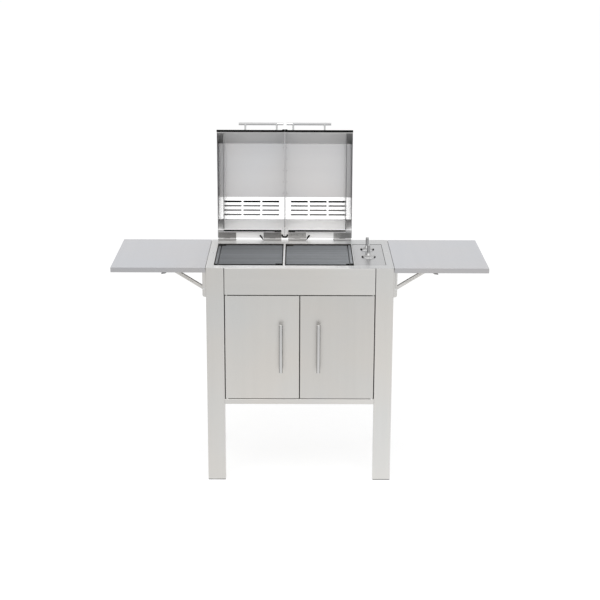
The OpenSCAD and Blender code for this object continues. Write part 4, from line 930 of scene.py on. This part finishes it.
for node, obj in NODES.items():
    paint(obj, finish_of(node))
    smooth(obj)
for node, width in DRESSED.items():
    softened(node, width, *REGIONS.get(node, (None, ())))
for side, sign in SIDES:
    lid_handle(side, sign)
    door_handle(side)
for place in ("front", "back"):
    knob(place)
dial_rings()
deck_screws()
hinge_screws()
panel_screws()
cable_gland()
baffle_edge_shade("left")
baffle_edge_shade("right")
seam_lip()
for side, sign in SIDES:
    tongue_channel(side, sign)
    seal_bead(side)
slot_shade_strips("left")
slot_shade_strips("right")
hinge_grips("left")
hinge_grips("right")
panel_shadow_line()


# Floor, light and camera

def stage():
    """A white floor: it keeps a soft shadow, and metal sees in it a painted pool of light, paler near the
    object than far away and towards the right.
    """
    s = Shader("floor")
    path = s.add("LightPath")
    base = s.add("BsdfDiffuse")
    base.inputs["Color"].default_value = (0.90, 0.90, 0.90, 1)
    shade = s.add("BsdfDiffuse")
    shade.inputs["Color"].default_value = (0.42, 0.42, 0.42, 1)
    glow = s.add("Emission")
    glow.inputs["Strength"].default_value = 0.74
    seen = s.add("AddShader")
    s.link(shade.outputs[0], seen.inputs[0])
    s.link(glow.outputs[0], seen.inputs[1])
    where = s.add("NewGeometry")
    away = s.add("VectorMath", operation="LENGTH")
    s.link(where.outputs["Position"], away.inputs[0])
    painted_pool_of_light = s.add("Emission")
    pool_by_distance = s.span(away.outputs["Value"], 1.08, 0.74, 0.3, 5.0)
    pool_lighter_to_right = s.span(s.place("X"), 1.0, 1.08, 0.15, 0.6)
    s.link(s.mix(1.0, pool_by_distance, pool_lighter_to_right, "MULTIPLY"), painted_pool_of_light.inputs["Strength"])
    glossy = s.add("MixShader")
    s.link(path.outputs["Is Glossy Ray"], glossy.inputs["Fac"])
    s.link(base.outputs[0], glossy.inputs[1])
    s.link(painted_pool_of_light.outputs[0], glossy.inputs[2])
    camera = s.add("MixShader")
    s.link(path.outputs["Is Camera Ray"], camera.inputs["Fac"])
    s.link(glossy.outputs[0], camera.inputs[1])
    s.link(seen.outputs[0], camera.inputs[2])
    s.link(camera.outputs[0], s.out.inputs["Surface"])
    bpy.ops.mesh.primitive_plane_add(size=60, location=(0, 0, 0))
    floor = bpy.context.object
    floor.name = "floor"
    floor.data.materials.append(s.material)


def world():
    """A white room that gives less light than the camera and the metal see."""
    sky = bpy.data.worlds.new("studio")
    bpy.context.scene.world = sky
    sky.use_nodes = True
    nodes, links = sky.node_tree.nodes, sky.node_tree.links
    nodes.clear()
    out = nodes.new("ShaderNodeOutputWorld")
    light = nodes.new("ShaderNodeBackground")
    light.inputs["Strength"].default_value = 0.66
    seen = nodes.new("ShaderNodeBackground")
    seen.inputs["Strength"].default_value = 1.0
    for background in (light, seen):
        background.inputs["Color"].default_value = (1, 1, 1, 1)
    path = nodes.new("ShaderNodeLightPath")
    most = nodes.new("ShaderNodeMath")
    most.operation = "MAXIMUM"
    mixer = nodes.new("ShaderNodeMixShader")
    links.new(path.outputs["Is Camera Ray"], most.inputs[0])
    links.new(path.outputs["Is Glossy Ray"], most.inputs[1])
    links.new(most.outputs[0], mixer.inputs["Fac"])
    links.new(light.outputs[0], mixer.inputs[1])
    links.new(seen.outputs[0], mixer.inputs[2])
    links.new(mixer.outputs[0], out.inputs["Surface"])


def softbox(name, place, target, size, radiance):
    """A rectangular lamp whose face has a given brightness, where 1 is white."""
    data = bpy.data.lights.new(name, "AREA")
    data.shape = "RECTANGLE"
    data.size, data.size_y = size
    data.energy = radiance * math.pi * size[0] * size[1]
    obj = bpy.data.objects.new(name, data)
    bpy.context.scene.collection.objects.link(obj)
    obj.location = place
    obj.rotation_euler = (Vector(target) - Vector(place)).to_track_quat("-Z", "Y").to_euler()
    obj.visible_camera = False


# The camera that the photograph was taken with, fitted to the corners of the legs, deck and shelves
CAMERA_AT = Vector((-0.01245, -5.88654, 2.35585))
CAMERA_LENS = 87.42
CAMERA_DOWN = 15.7716
CAMERA_ROLL = 0.2126
CAMERA_YAW = -0.1373


def camera():
    """A camera at CAMERA_AT that looks along +Y, turned, tilted down and rolled."""
    data = bpy.data.cameras.new("camera")
    data.sensor_width = 36
    data.lens = CAMERA_LENS
    obj = bpy.data.objects.new("camera", data)
    bpy.context.scene.collection.objects.link(obj)
    turn = Matrix.Rotation(math.radians(CAMERA_YAW), 3, "Z")
    tilt = Matrix.Rotation(math.radians(90 - CAMERA_DOWN), 3, "X")
    roll = Matrix.Rotation(math.radians(CAMERA_ROLL), 3, "Z")
    obj.matrix_world = Matrix.Translation(CAMERA_AT) @ (turn @ tilt @ roll).to_4x4()
    bpy.context.scene.camera = obj


stage()
world()
softbox("key", (-0.3, -2.45, 4.1), (0, 0.15, 1.0), (5.0, 3.0), 1.35)
camera()
bpy.context.scene.view_settings.view_transform = "Standard"
